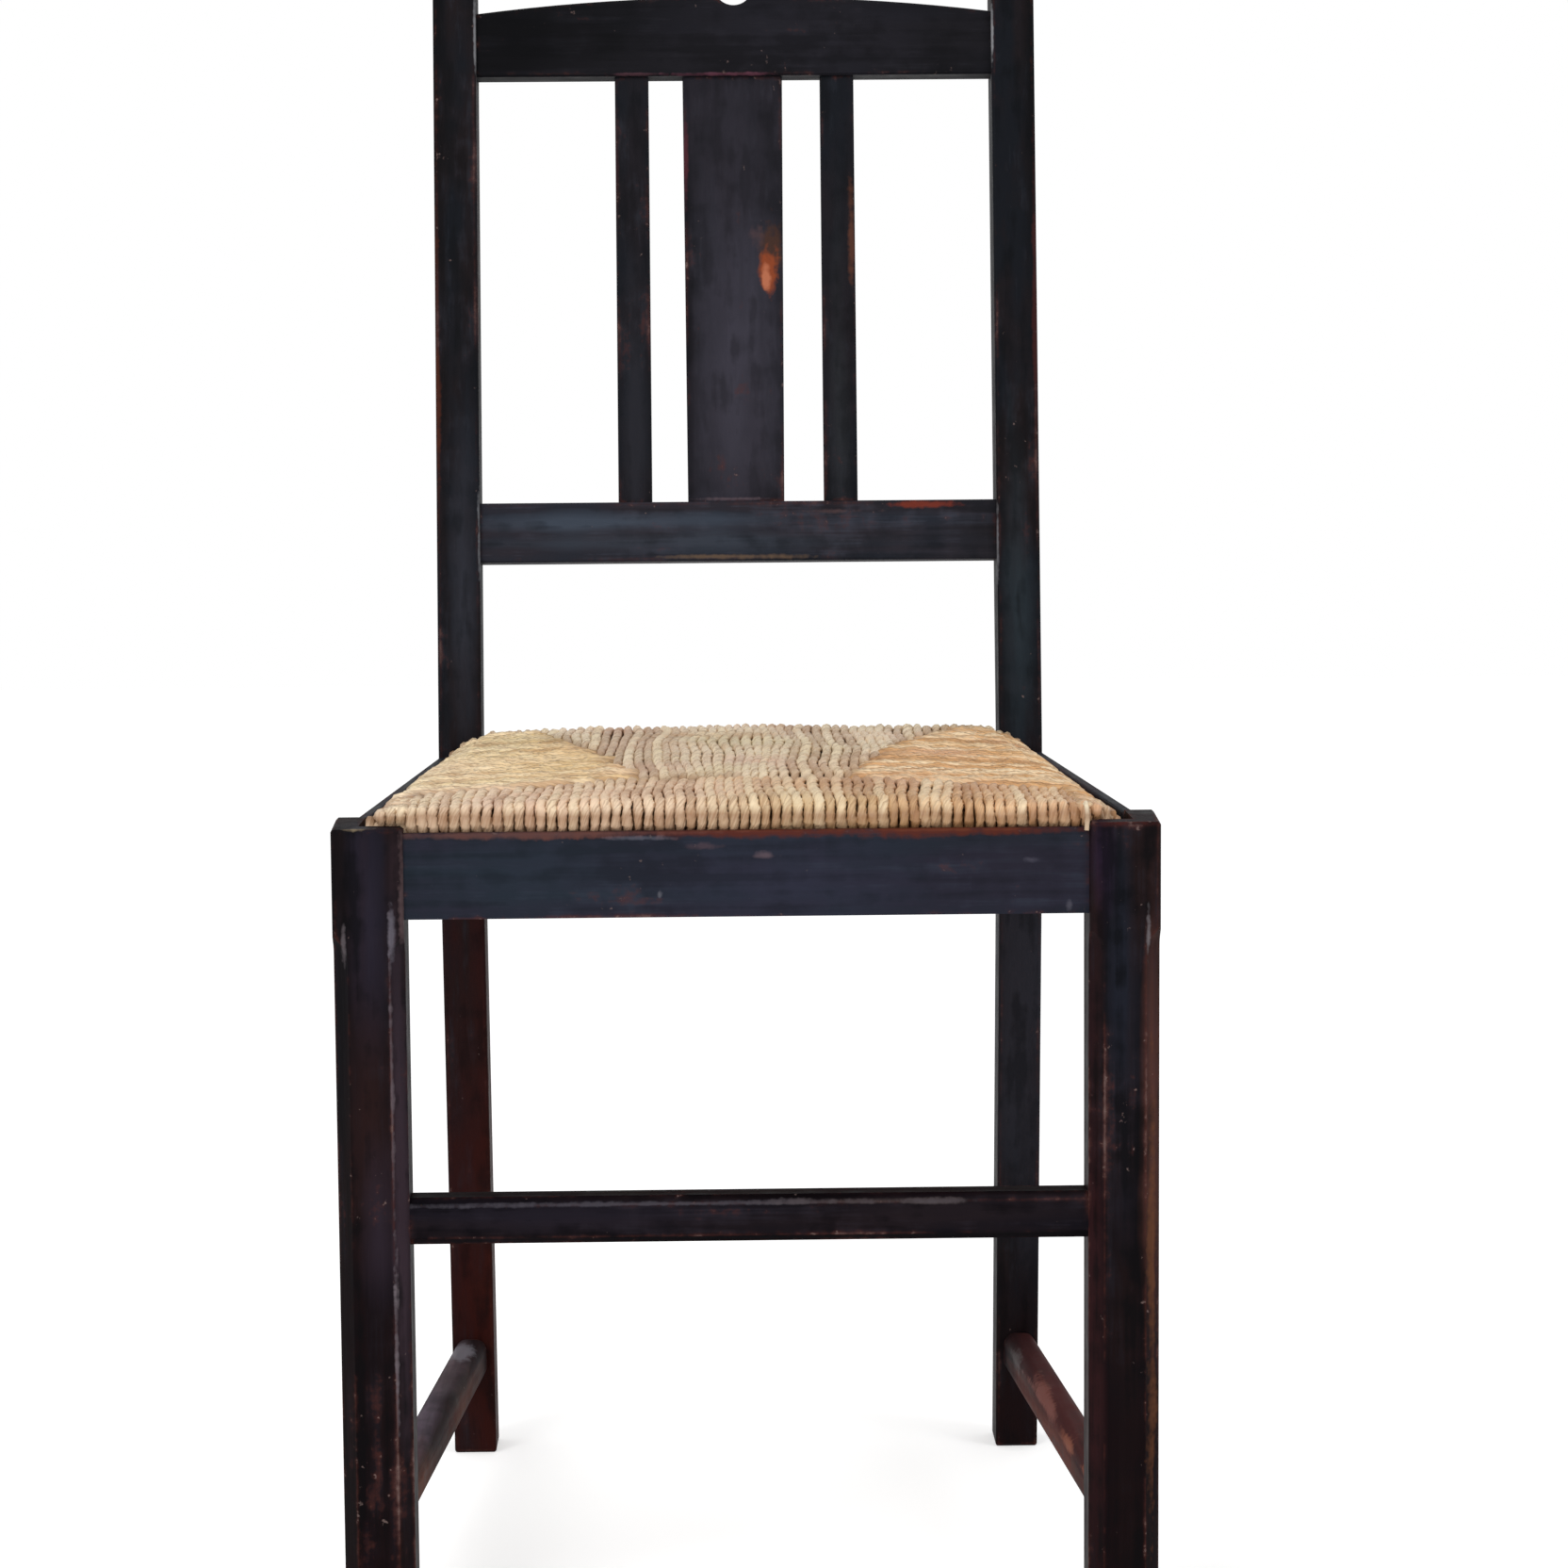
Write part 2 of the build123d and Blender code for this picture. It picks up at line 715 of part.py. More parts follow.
with BuildPart() as corner_block_rear_right:
    extrude(block_plan(rear_corner_y, -1), amount=block_height)
    cut_screw_hole(rear_rail_screw)
    cut_screw_hole(side_rail_rear_screw)

with BuildPart() as corner_block_front_left:
    mirror(corner_block_front_right.part, about=Plane.YZ)

with BuildPart() as corner_block_rear_left:
    mirror(corner_block_rear_right.part, about=Plane.YZ)

# A flat-headed wood screw, with the rail's face at its own origin and its point at +Z
with BuildPart() as screw:
    with BuildSketch(Plane.XZ):
        with BuildLine():
            Polyline(
                (0, -screw_seat - screw_head_height),
                (screw_head_radius, -screw_seat - screw_head_height),
                (screw_head_radius, -screw_seat),
                (screw_radius, -screw_seat),
                (screw_radius, screw_bite - screw_point),
                (0, screw_bite),
                close=True,
            )
        make_face()
    revolve(axis=Axis.Z)
    with BuildSketch(Plane.XY.offset(-screw_seat - screw_head_height)):
        Rectangle(2 * screw_head_radius, screw_slot_width)
    extrude(amount=screw_slot_depth, mode=Mode.SUBTRACT)

with BuildPart() as corner_block_screws:
    with Locations(*[screw_plane.location for screw_plane in screw_planes]):
        add(screw.part)
    mirror(about=Plane.YZ)

# ---------------------------------------------------------------- loose seat

cavity_inset = seat_clearance + rush_thickness
frame_inset = cavity_inset + frame_clearance
frame_bottom = ledge_height + rush_thickness + frame_clearance
frame_front_y = well_front_y + frame_inset
frame_rear_y = post_front_y - frame_inset
front_bar_back_y = frame_front_y + frame_bar_width
rear_bar_front_y = frame_rear_y - frame_bar_width


def frame_outer_x(y):
    """X of the seat frame's right edge at a distance y."""
    return side_face_x(y) - lip_width - frame_inset


def frame_tenon(y, direction):
    """Tenon of the right side bar at a shoulder y; direction 1 points back and -1 forward."""
    middle = (frame_outer_x(y) - frame_bar_width / 2, y, frame_bottom + frame_bar_height / 2)
    return Tenon(
        Plane(origin=middle, x_dir=(1, 0, 0), z_dir=(0, direction, 0)),
        frame_bar_width - 2 * frame_tenon_shoulder,
        frame_tenon_thickness,
        frame_tenon_length,
    )


front_bar_tenon = frame_tenon(front_bar_back_y, -1)
rear_bar_tenon = frame_tenon(rear_bar_front_y, 1)


def build_cross_bar(front, back, tenon):
    """Build a bar across the seat frame between two distances y, mortised for the side bars."""
    with BuildSketch(Plane.XY.offset(frame_bottom)) as right_half:
        with BuildLine():
            Polyline(
                (0, front),
                (frame_outer_x(front), front),
                (frame_outer_x(back), back),
                (0, back),
                close=True,
            )
        make_face()
    with BuildPart() as bar:
        extrude(right_half.sketch, amount=frame_bar_height)
        fillet(bar.edges().filter_by(Axis.X), frame_bar_ease)
        cut_mortise(tenon)
        mirror(about=Plane.YZ)
    return bar


seat_frame_front = build_cross_bar(frame_front_y, front_bar_back_y, front_bar_tenon)
seat_frame_rear = build_cross_bar(rear_bar_front_y, frame_rear_y, rear_bar_tenon)

with BuildPart() as seat_frame_right:
    with BuildSketch(Plane.XY.offset(frame_bottom)):
        with BuildLine():
            Polyline(
                (frame_outer_x(front_bar_back_y), front_bar_back_y),
                (frame_outer_x(rear_bar_front_y), rear_bar_front_y),
                (frame_outer_x(rear_bar_front_y) - frame_bar_width, rear_bar_front_y),
                (frame_outer_x(front_bar_back_y) - frame_bar_width, front_bar_back_y),
                close=True,
            )
        make_face()
    extrude(amount=frame_bar_height)
    fillet(seat_frame_right.edges().sort_by(SortBy.LENGTH)[-4:], frame_bar_ease)
    grow_tenon(front_bar_tenon)
    grow_tenon(rear_bar_tenon)

with BuildPart() as seat_frame_left:
    mirror(seat_frame_right.part, about=Plane.YZ)

with BuildPart() as rush_stuffing:
    stuffing_inset = frame_inset + frame_bar_width + stuffing_clearance
    extrude(seat_plan(stuffing_inset, frame_bottom), amount=frame_bar_height)

# The rush is wound round the bars of the frame, so its edges are rounded. Its top is crowned
# from side to side and falls to the front.
side_wall_front = Vector(*seat_corners(seat_clearance)[1], 0)
side_wall_back = Vector(*seat_corners(seat_clearance)[2], 0)
side_wall = Plane(
    origin=side_wall_front,
    x_dir=(side_wall_back - side_wall_front).cross(Vector(0, 0, 1)),
    z_dir=side_wall_front - side_wall_back,
)
front_wall = Plane(origin=(0, side_wall_front.Y, 0), x_dir=(0, -1, 0), z_dir=(-1, 0, 0))
rear_wall = Plane(origin=(0, side_wall_back.Y, 0), x_dir=(0, 1, 0), z_dir=(1, 0, 0))
crown_section = Plane(
    origin=(0, side_wall_back.Y, seat_top),
    x_dir=(1, 0, 0),
    z_dir=(0, side_wall_front.Y - side_wall_back.Y, -seat_top_fall),
)


def rounded_edge_waste(wall, top, radius):
    """Waste outside a rounded top edge; the wall's x points out of the rush and its y up."""
    with BuildSketch(wall) as waste:
        with BuildLine():
            round_over = CenterArc((-radius, top - radius), radius, 0, rush_edge_sweep)
            run_out = round_over @ 1 + round_over % 1 * rush_run_out
            Polyline(
                round_over @ 1,
                run_out,
                (radius, run_out.Y),
                (radius, top - radius),
                round_over @ 0,
            )
        make_face()
    return waste.sketch


with BuildPart() as rush_side_waste:
    side_waste = rounded_edge_waste(side_wall, rush_side_top, rush_side_radius)
    extrude(side_waste, amount=seat_depth, both=True)
    mirror(about=Plane.YZ)

with BuildSketch(crown_section) as over_crown:
    with BuildLine():
        crown = ThreePointArc(
            (-crown_half_width, -seat_crown),
            (0, 0),
            (crown_half_width, -seat_crown),
        )
        Polyline(
            crown @ 1,
            (crown_half_width, seat_crown),
            (-crown_half_width, seat_crown),
            crown @ 0,
        )
    make_face()

with BuildPart() as rush_weave:
    extrude(seat_plan(seat_clearance, ledge_height), amount=seat_top - ledge_height)
    fillet(rush_weave.edges().filter_by(Axis.Z), rush_corner_radius)
    extrude(over_crown.sketch, amount=seat_depth, both=True, mode=Mode.SUBTRACT)
    add(rush_side_waste.part, mode=Mode.SUBTRACT)
    front_waste = rounded_edge_waste(front_wall, rush_front_top, rush_front_radius)
    extrude(front_waste, amount=front_width, both=True, mode=Mode.SUBTRACT)
    rear_waste = rounded_edge_waste(rear_wall, rush_rear_top, rush_rear_radius)
    extrude(rear_waste, amount=front_width, both=True, mode=Mode.SUBTRACT)
    cavity = seat_plan(cavity_inset, ledge_height + rush_thickness)
    extrude(cavity, amount=frame_bar_height + 2 * frame_clearance, mode=Mode.SUBTRACT)

# ---------------------------------------------------------------- files

nodes = {
    "front_leg_left": front_leg_left,
    "front_leg_right": front_leg_right,
    "rear_post_left": rear_post_left,
    "rear_post_right": rear_post_right,
    "front_seat_rail": front_seat_rail,
    "side_seat_rail_left": side_seat_rail_left,
    "side_seat_rail_right": side_seat_rail_right,
    "rear_seat_rail": rear_seat_rail,
    "crest_rail": crest_rail,
    "lower_back_rail": lower_back_rail,
    "centre_splat": centre_splat,
    "side_slat_left": side_slat_left,
    "side_slat_right": side_slat_right,
    "front_stretcher": front_stretcher,
    "side_stretcher_left": side_stretcher_left,
    "side_stretcher_right": side_stretcher_right,
    "corner_block_front_left": corner_block_front_left,
    "corner_block_front_right": corner_block_front_right,
    "corner_block_rear_left": corner_block_rear_left,
    "corner_block_rear_right": corner_block_rear_right,
    "corner_block_screws": corner_block_screws,
    "seat_frame_front": seat_frame_front,
    "seat_frame_rear": seat_frame_rear,
    "seat_frame_left": seat_frame_left,
    "seat_frame_right": seat_frame_right,
    "rush_stuffing": rush_stuffing,
    "rush_weave": rush_weave,
}

os.makedirs("parts", exist_ok=True)
for name, piece in nodes.items():
    piece.part.label = name
    export_step(piece.part, f"parts/{name}.step")
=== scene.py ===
import math

import bmesh
import bpy
from mathutils import Matrix, Vector, noise


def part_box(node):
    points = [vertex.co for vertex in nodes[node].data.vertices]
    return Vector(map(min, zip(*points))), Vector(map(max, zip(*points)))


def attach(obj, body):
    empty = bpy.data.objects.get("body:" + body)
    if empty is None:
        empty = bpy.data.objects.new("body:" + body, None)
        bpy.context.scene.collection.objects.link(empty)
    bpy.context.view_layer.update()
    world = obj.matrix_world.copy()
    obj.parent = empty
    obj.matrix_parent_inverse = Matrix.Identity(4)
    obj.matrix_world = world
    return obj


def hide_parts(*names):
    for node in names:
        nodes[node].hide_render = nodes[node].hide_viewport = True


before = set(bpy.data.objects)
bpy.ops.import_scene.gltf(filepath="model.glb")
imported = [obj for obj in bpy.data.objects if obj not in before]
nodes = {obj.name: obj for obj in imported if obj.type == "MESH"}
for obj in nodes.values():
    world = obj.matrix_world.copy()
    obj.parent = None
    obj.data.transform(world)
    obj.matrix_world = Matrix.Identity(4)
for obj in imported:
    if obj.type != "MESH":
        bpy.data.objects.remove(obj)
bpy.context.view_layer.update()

scene = bpy.context.scene

# ---------------------------------------------------------------- camera
# The chair stands square to a long lens a little above the seat, which crops the tops of
# the posts and the feet of the front legs.
camera_distance = 2.2588  # in front of the front legs
camera_height = 0.7243
camera_aside = -0.0191
camera_turn = math.radians(1.0011)  # to the right
camera_tilt = math.radians(6.2373)  # down
camera_roll = math.radians(-0.4426)
camera_lens = 97.26  # on a sensor 36 mm wide

leg_front_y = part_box("front_leg_right")[0].y
camera_data = bpy.data.cameras.new("camera")
camera_data.sensor_width = 36
camera_data.lens = camera_lens
camera = bpy.data.objects.new("camera", camera_data)
scene.collection.objects.link(camera)
aim = Matrix.Rotation(-camera_turn, 4, "Z") @ Matrix.Rotation(math.pi / 2 - camera_tilt, 4, "X")
stand = Matrix.Translation((camera_aside, leg_front_y - camera_distance, camera_height))
camera.matrix_world = stand @ aim @ Matrix.Rotation(camera_roll, 4, "Z")
scene.camera = camera
scene.view_settings.view_transform = "Standard"

# ---------------------------------------------------------------- studio
# A matt white floor runs out to a white background. One wide soft lamp hangs in front and
# to the left, a weaker one to the right, and the rest of the light comes from all round.
floor_half = 6.0
floor_white = 0.9
floor_glow = 0.42  # of the background's white, shown on top of the floor's own shade
sky_level = 0.66
lamp_target = (0, 0, 0.45)
lamps = (  # name, place, width, power
    ("key", (-2.3, -3.6, 2.7), 2.6, 104.0),
    ("fill", (2.6, -1.8, 1.6), 1.6, 28.0),
)


class Wire:
    """One output of a node. A sum written on it adds Math nodes."""

    def __init__(self, tree, socket):
        self.tree = tree
        self.socket = socket

    def __getitem__(self, name):
        return Wire(self.tree, self.socket.node.outputs[name])

    def sum(self, operation, first, second):
        return add(self.tree, "ShaderNodeMath", {"operation": operation}, {0: first, 1: second})

    def __add__(self, other):
        return self.sum("ADD", self, other)

    def __sub__(self, other):
        return self.sum("SUBTRACT", self, other)

    def __rsub__(self, other):
        return self.sum("SUBTRACT", other, self)

    def __mul__(self, other):
        return self.sum("MULTIPLY", self, other)

    __radd__ = __add__
    __rmul__ = __mul__


def add(tree, kind, settings=None, inputs=None, output=0):
    """Add a node: its settings first, then the values or links of its inputs."""
    node = tree.nodes.new(kind)
    for name, value in (settings or {}).items():
        if name == "stops":
            ramp = node.color_ramp.elements
            while len(ramp) < len(value):
                ramp.new(1)
            for stop, (place, colour) in zip(ramp, value):
                stop.position = place
                stop.color = colour
        else:
            setattr(node, name, value)
    for name, value in (inputs or {}).items():
        if isinstance(value, Wire):
            tree.links.new(value.socket, node.inputs[name])
        else:
            node.inputs[name].default_value = value
    return Wire(tree, node.outputs[output]) if node.outputs else None


def seen_directly(tree):
    """1 where the camera, a reflection or something clear shows the background."""
    path = add(tree, "ShaderNodeLightPath")
    return path["Is Camera Ray"] + path["Is Glossy Ray"] + path["Is Transmission Ray"]


white = (1, 1, 1, 1)
world = bpy.data.worlds.new("studio")
world.use_nodes = True
sky = world.node_tree
sky.nodes.clear()
even = add(sky, "ShaderNodeBackground", None, {"Color": white, "Strength": sky_level})
backdrop = add(sky, "ShaderNodeBackground", None, {"Color": white, "Strength": 1.0})
both = add(sky, "ShaderNodeMixShader", None, {0: seen_directly(sky), 1: even, 2: backdrop})
add(sky, "ShaderNodeOutputWorld", None, {"Surface": both})
scene.world = world

floor_paint = bpy.data.materials.new("floor_white")
floor_paint.use_nodes = True
tree = floor_paint.node_tree
tree.nodes.clear()
matt = add(tree, "ShaderNodeBsdfDiffuse", None, {"Color": (floor_white,) * 3 + (1,)})
glow = add(tree, "ShaderNodeEmission", None, {"Color": white, "Strength": floor_glow})
bright = add(tree, "ShaderNodeAddShader", None, {0: matt, 1: glow})
both = add(tree, "ShaderNodeMixShader", None, {0: seen_directly(tree), 1: matt, 2: bright})
add(tree, "ShaderNodeOutputMaterial", None, {"Surface": both})

floor_mesh = bpy.data.meshes.new("floor")
corners = [(x * floor_half, y * floor_half, 0) for x, y in ((-1, -1), (1, -1), (1, 1), (-1, 1))]
floor_mesh.from_pydata(corners, [], [(0, 1, 2, 3)])
floor_mesh.materials.append(floor_paint)
floor = bpy.data.objects.new("floor", floor_mesh)
scene.collection.objects.link(floor)

for name, place, width, power in lamps:
    lamp_data = bpy.data.lights.new(name, "AREA")
    lamp_data.shape = "DISK"
    lamp_data.size = width
    lamp_data.energy = power
    lamp = bpy.data.objects.new(name, lamp_data)
    scene.collection.objects.link(lamp)
    lamp.location = place
    aim = Vector(lamp_target) - lamp.location
    lamp.rotation_euler = aim.to_track_quat("-Z", "Y").to_euler()

# ---------------------------------------------------------------- front legs
# Two square hardwood legs, chamfered on the front arrises as far up as the seat rails. They
# are painted blue-black over a red ground, and hands and feet have worn both off the edges.
ground_red = (76, 40, 34)
bare_grey = (116, 98, 94)


def srgb(red, green, blue):
    """A colour of 0 to 255 each, as a shader takes it."""
    linear = [
        c / 255 / 12.92 if c < 11 else ((c / 255 + 0.055) / 1.055) ** 2.4
        for c in (red, green, blue)
    ]
    return (*linear, 1)


def mix(tree, factor, first, second):
    """The first colour where the factor is 0, and the second where it is 1."""
    inputs = {0: factor, 6: first, 7: second}
    return add(tree, "ShaderNodeMix", {"data_type": "RGBA"}, inputs, 2)


def share(tree, value, low, high):
    """0 at one value and 1 at another, and held there beyond them."""
    inputs = {"Value": value, "From Min": low, "From Max": high}
    return add(tree, "ShaderNodeMapRange", None, inputs)


def uneven(tree, vector, scale, detail=2.0):
    """Noise about zero, with so many patches to the metre."""
    inputs = {"Vector": vector, "Scale": scale, "Detail": detail}
    return add(tree, "ShaderNodeTexNoise", None, inputs) - 0.5


def near(tree, place, centre, size):
    """Distance from a centre, in which an oval of this half size is 1."""
    oval = {"Vector": place, "Location": centre, "Scale": size}
    offset = add(tree, "ShaderNodeMapping", {"vector_type": "TEXTURE"}, oval)
    return add(tree, "ShaderNodeVectorMath", {"operation": "LENGTH"}, {0: offset}, "Value")


def new_material(name):
    material = bpy.data.materials.new(name)
    material.use_nodes = True
    material.node_tree.nodes.clear()
    return material, material.node_tree


def bumpy(tree, strength, distance, height):
    """The way a skin faces, with bumps of up to this distance in metres."""
    inputs = {"Strength": strength, "Distance": distance, "Height": height}
    return add(tree, "ShaderNodeBump", None, inputs)


def close_material(tree, skin):
    """End a material with one shader that takes these inputs."""
    shader = add(tree, "ShaderNodeBsdfPrincipled", None, skin)
    add(tree, "ShaderNodeOutputMaterial", None, {"Surface": shader})


def painted_wood(
    name, along, paint, patches, wear=1.0, rubs_and_highlights=(), stains_and_painted_light=(), streaked=1.0, gloss=0.035
):
    """Old paint on wood whose grain runs along one axis.

    paint and patches are its two shades, and wear says how far the arrises are rubbed. Each
    ragged rub or painted highlight, and each soft stain or painted shade or sheen, has a
    centre, a half size, a colour and a strength.
    streaked says how strongly black and scuffed streaks show along the grain, and gloss
    how much the paint shines.
    """
    material, tree = new_material(name)
    place = add(tree, "ShaderNodeTexCoord", output="Object")
    squeeze = [0.05 if axis == along else 1.0 for axis in "XYZ"]
    fibres = add(tree, "ShaderNodeMapping", None, {"Vector": place, "Scale": squeeze})
    grain = uneven(tree, fibres, 700, 3)
    streaks = uneven(tree, fibres, 130, 3)
    bands = uneven(tree, fibres, 60, 2)
    clouds = uneven(tree, place, 15)
    mottle = uneven(tree, place, 70, 3)
    flecks = uneven(tree, place, 260, 3)
    rough_edge = clouds + streaks + mottle * 0.5 + flecks * 0.6

    bent = add(tree, "ShaderNodeBevel", {"samples": 8}, {"Radius": 0.005})
    flat = add(tree, "ShaderNodeNewGeometry", output="True Normal")
    facing = {"operation": "DOT_PRODUCT"}
    turned = add(tree, "ShaderNodeVectorMath", facing, {0: bent, 1: flat}, "Value")
    arris = share(tree, turned, 0.999, 0.955)
    edge = arris * (0.52 * wear) + rough_edge
    worn = share(tree, edge, 0.25, 0.6)
    bare = share(tree, edge, 0.5, 0.8)

    mottled = share(tree, bands + clouds * 0.5 + mottle * 0.3, -0.12, 0.12)
    colour = mix(tree, mottled, srgb(*paint), srgb(*patches))
    scuffed = share(tree, streaks + mottle * 0.7 + grain * 0.4 + clouds * 0.6, 0.06, 0.34)
    faded = srgb(*[shade * 1.6 + 14 for shade in paint])
    colour = mix(tree, scuffed * (0.55 * streaked), colour, faded)
    for centre, size, stain_or_painted_light_colour, strength in stains_and_painted_light:
        stain_or_painted_light = share(tree, near(tree, place, centre, size) + bands + streaks + clouds, 1.2, 0.2)
        colour = mix(tree, stain_or_painted_light * strength, colour, srgb(*stain_or_painted_light_colour))
    black = share(tree, streaks + mottle * 0.5 - clouds * 0.4, 0.0, -0.17)
    sooty = srgb(*[shade * 0.35 for shade in paint])
    colour = mix(tree, black * (0.7 * streaked), colour, sooty)
    colour = mix(tree, worn * 0.7, colour, srgb(*ground_red))
    colour = mix(tree, bare * 0.75, colour, srgb(*bare_grey))
    nicks = share(tree, flecks + arris * 0.06 + clouds * 0.3, 0.24, 0.3)
    colour = mix(tree, nicks * (0.9 * wear), colour, srgb(*bare_grey))
    for centre, size, rub_or_highlight_colour, strength in rubs_and_highlights:
        rub_or_highlight = share(tree, near(tree, place, centre, size) + rough_edge * 2.0, 1.0, 0.3)
        colour = mix(tree, rub_or_highlight * strength, colour, srgb(*rub_or_highlight_colour))

    height = grain * 0.5 + streaks * 0.7 + mottle * 0.4 - worn * 0.3
    skin = {
        "Base Color": colour,
        "Roughness": streaks * 0.4 + mottle * 0.3 + worn * 0.12 + 0.56,
        "Specular IOR Level": gloss,
        "Normal": bumpy(tree, 0.5, 0.0006, height),
    }
    close_material(tree, skin)
    return material


def finish(material, *names):
    """Give solid pieces their material."""
    for name in names:
        nodes[name].material_slots[0].material = material


leg_stains_and_shade = (
    ((-0.204, leg_front_y, 0.0), (0.08, 0.08, 0.40), (15, 4, 5), 0.8),
    ((0.204, leg_front_y, 0.0), (0.08, 0.08, 0.36), (13, 4, 5), 0.8),
    ((-0.203, leg_front_y, 0.41), (0.011, 0.03, 0.08), (38, 34, 46), 0.65),
    ((-0.205, leg_front_y, 0.29), (0.014, 0.03, 0.07), (40, 23, 22), 0.6),
    ((-0.201, leg_front_y, 0.24), (0.009, 0.03, 0.05), (44, 36, 46), 0.6),
    # a dark band down the left leg's outer edge: painted shade
    ((-0.221, leg_front_y, 0.30), (0.006, 0.03, 0.26), (8, 7, 9), 0.8),
    ((-0.1885, leg_front_y + 0.004, 0.26), (0.005, 0.02, 0.20), (58, 46, 54), 0.7),
    ((0.202, leg_front_y, 0.36), (0.009, 0.03, 0.13), (26, 30, 40), 0.7),
    ((0.191, leg_front_y, 0.44), (0.008, 0.03, 0.035), (40, 28, 48), 0.7),
    ((0.187, leg_front_y, 0.20), (0.006, 0.04, 0.24), (46, 22, 24), 0.7),
    ((0.2195, leg_front_y + 0.004, 0.30), (0.007, 0.02, 0.13), (88, 54, 46), 0.7),
)
leg_rubs_and_highlights = (
    ((0.2195, leg_front_y + 0.004, 0.20), (0.004, 0.012, 0.17), (98, 60, 38), 0.6),
    ((-0.1925, leg_front_y, 0.31), (0.0014, 0.008, 0.09), (108, 96, 102), 0.6),
    ((-0.1925, leg_front_y, 0.15), (0.0016, 0.008, 0.06), (120, 110, 116), 0.6),
    # the next three pale marks, where the chamfers stop, are painted highlights
    ((-0.1915, leg_front_y, 0.395), (0.0022, 0.008, 0.016), (104, 100, 110), 0.55),
    ((0.2165, leg_front_y, 0.394), (0.0016, 0.008, 0.018), (110, 106, 110), 0.6),
    ((-0.2175, leg_front_y, 0.393), (0.0016, 0.008, 0.010), (104, 96, 100), 0.5),
    # a pale line down the left leg's inner face near its top: painted highlight
    ((-0.1838, leg_front_y, 0.43), (0.003, 0.008, 0.045), (96, 78, 80), 0.6),
    ((-0.204, leg_front_y + 0.001, 0.4565), (0.016, 0.002, 0.0018), (140, 124, 100), 0.6),
    ((0.204, leg_front_y + 0.001, 0.4545), (0.02, 0.002, 0.003), (76, 34, 30), 0.6),
)
leg_paint = painted_wood("leg_paint", "Z", (13, 13, 18), (26, 17, 18), 0.65, leg_rubs_and_highlights, leg_stains_and_shade)
finish(leg_paint, "front_leg_left", "front_leg_right")

# ---------------------------------------------------------------- rear posts
# Each post is one bent piece from floor to top, painted as the legs are. The feet have gone
# redder and the paint beside the lower back rail greyer. Thin painted highlights run down
# the inner front arrises beside both back rails, and painted shade darkens the outer edges
# above the seat.
post_stains_and_shade = (
    ((-0.160, 0.15, 0.10), (0.045, 0.2, 0.34), (50, 16, 10), 0.78),
    ((0.172, 0.17, 0.0), (0.06, 0.2, 0.12), (22, 8, 8), 0.8),
    ((0.172, 0.16, 0.30), (0.05, 0.2, 0.14), (46, 45, 52), 0.75),
    ((-0.172, 0.14, 0.56), (0.009, 0.1, 0.12), (44, 46, 54), 0.75),
    ((0.174, 0.14, 0.56), (0.009, 0.1, 0.12), (38, 46, 52), 0.75),
    # the outer edges above the seat darkened: painted shade
    ((-0.186, 0.19, 0.88), (0.008, 0.1, 0.16), (8, 8, 10), 0.8),
    ((0.186, 0.19, 0.88), (0.006, 0.1, 0.16), (8, 8, 10), 0.8),
)
post_rubs_and_highlights = (
    ((-0.187, 0.17, 0.70), (0.0022, 0.03, 0.14), (80, 40, 26), 0.6),
    ((0.187, 0.17, 0.70), (0.0022, 0.03, 0.12), (62, 30, 28), 0.6),
    # thin pale lines on the inner front arrises beside the crest rail and the lower back rail:
    # painted highlights
    ((-0.1616, 0.1925, 0.905), (0.0012, 0.006, 0.03), (130, 130, 134), 0.7),
    ((0.1616, 0.1925, 0.905), (0.0012, 0.006, 0.03), (150, 150, 154), 0.7),
    ((-0.1616, 0.1510, 0.59), (0.0012, 0.006, 0.04), (120, 122, 128), 0.6),
    ((0.1616, 0.1510, 0.59), (0.0012, 0.006, 0.03), (130, 130, 136), 0.6),
)
post_paint = painted_wood(
    "post_paint", "Z", (18, 20, 25), (25, 20, 22), 0.65, post_rubs_and_highlights, post_stains_and_shade, 0.7
)
finish(post_paint, "rear_post_left", "rear_post_right")

# ---------------------------------------------------------------- seat rails
# Four rails tenoned into the legs and posts. The front and side rails are rebated, which
# leaves a thin lip beside the seat, and the front lip has lost its paint along the top.
rail_front_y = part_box("front_seat_rail")[0].y
rail_rubs_and_highlight = (
    ((0.06, rail_front_y + 0.002, 0.4508), (0.19, 0.010, 0.0034), (84, 38, 27), 0.8),
    ((-0.12, rail_front_y + 0.002, 0.4510), (0.09, 0.010, 0.0028), (92, 62, 57), 0.7),
    ((0.09, rail_front_y + 0.002, 0.4525), (0.1, 0.010, 0.0018), (112, 62, 40), 0.35),
    ((-0.024, rail_front_y, 0.4440), (0.010, 0.01, 0.0026), (86, 68, 74), 0.4),
    ((0.010, rail_front_y, 0.4387), (0.006, 0.01, 0.0024), (108, 90, 96), 0.45),
    # a pale line just under the lip: painted highlight
    ((-0.057, rail_front_y, 0.4485), (0.02, 0.01, 0.0016), (100, 100, 112), 0.4),
    ((-0.047, rail_front_y, 0.4165), (0.0024, 0.01, 0.005), (110, 110, 118), 0.5),
    ((0.1537, rail_front_y, 0.4347), (0.006, 0.01, 0.002), (78, 76, 88), 0.45),
    ((0.1741, rail_front_y, 0.410), (0.0024, 0.01, 0.004), (86, 84, 94), 0.45),
)
rail_stains = (
    ((-0.10, rail_front_y, 0.43), (0.10, 0.02, 0.03), (36, 44, 54), 0.6),
    ((0.02, rail_front_y, 0.425), (0.08, 0.02, 0.03), (42, 44, 58), 0.6),
    ((0.15, rail_front_y, 0.435), (0.06, 0.02, 0.03), (34, 32, 41), 0.6),
)
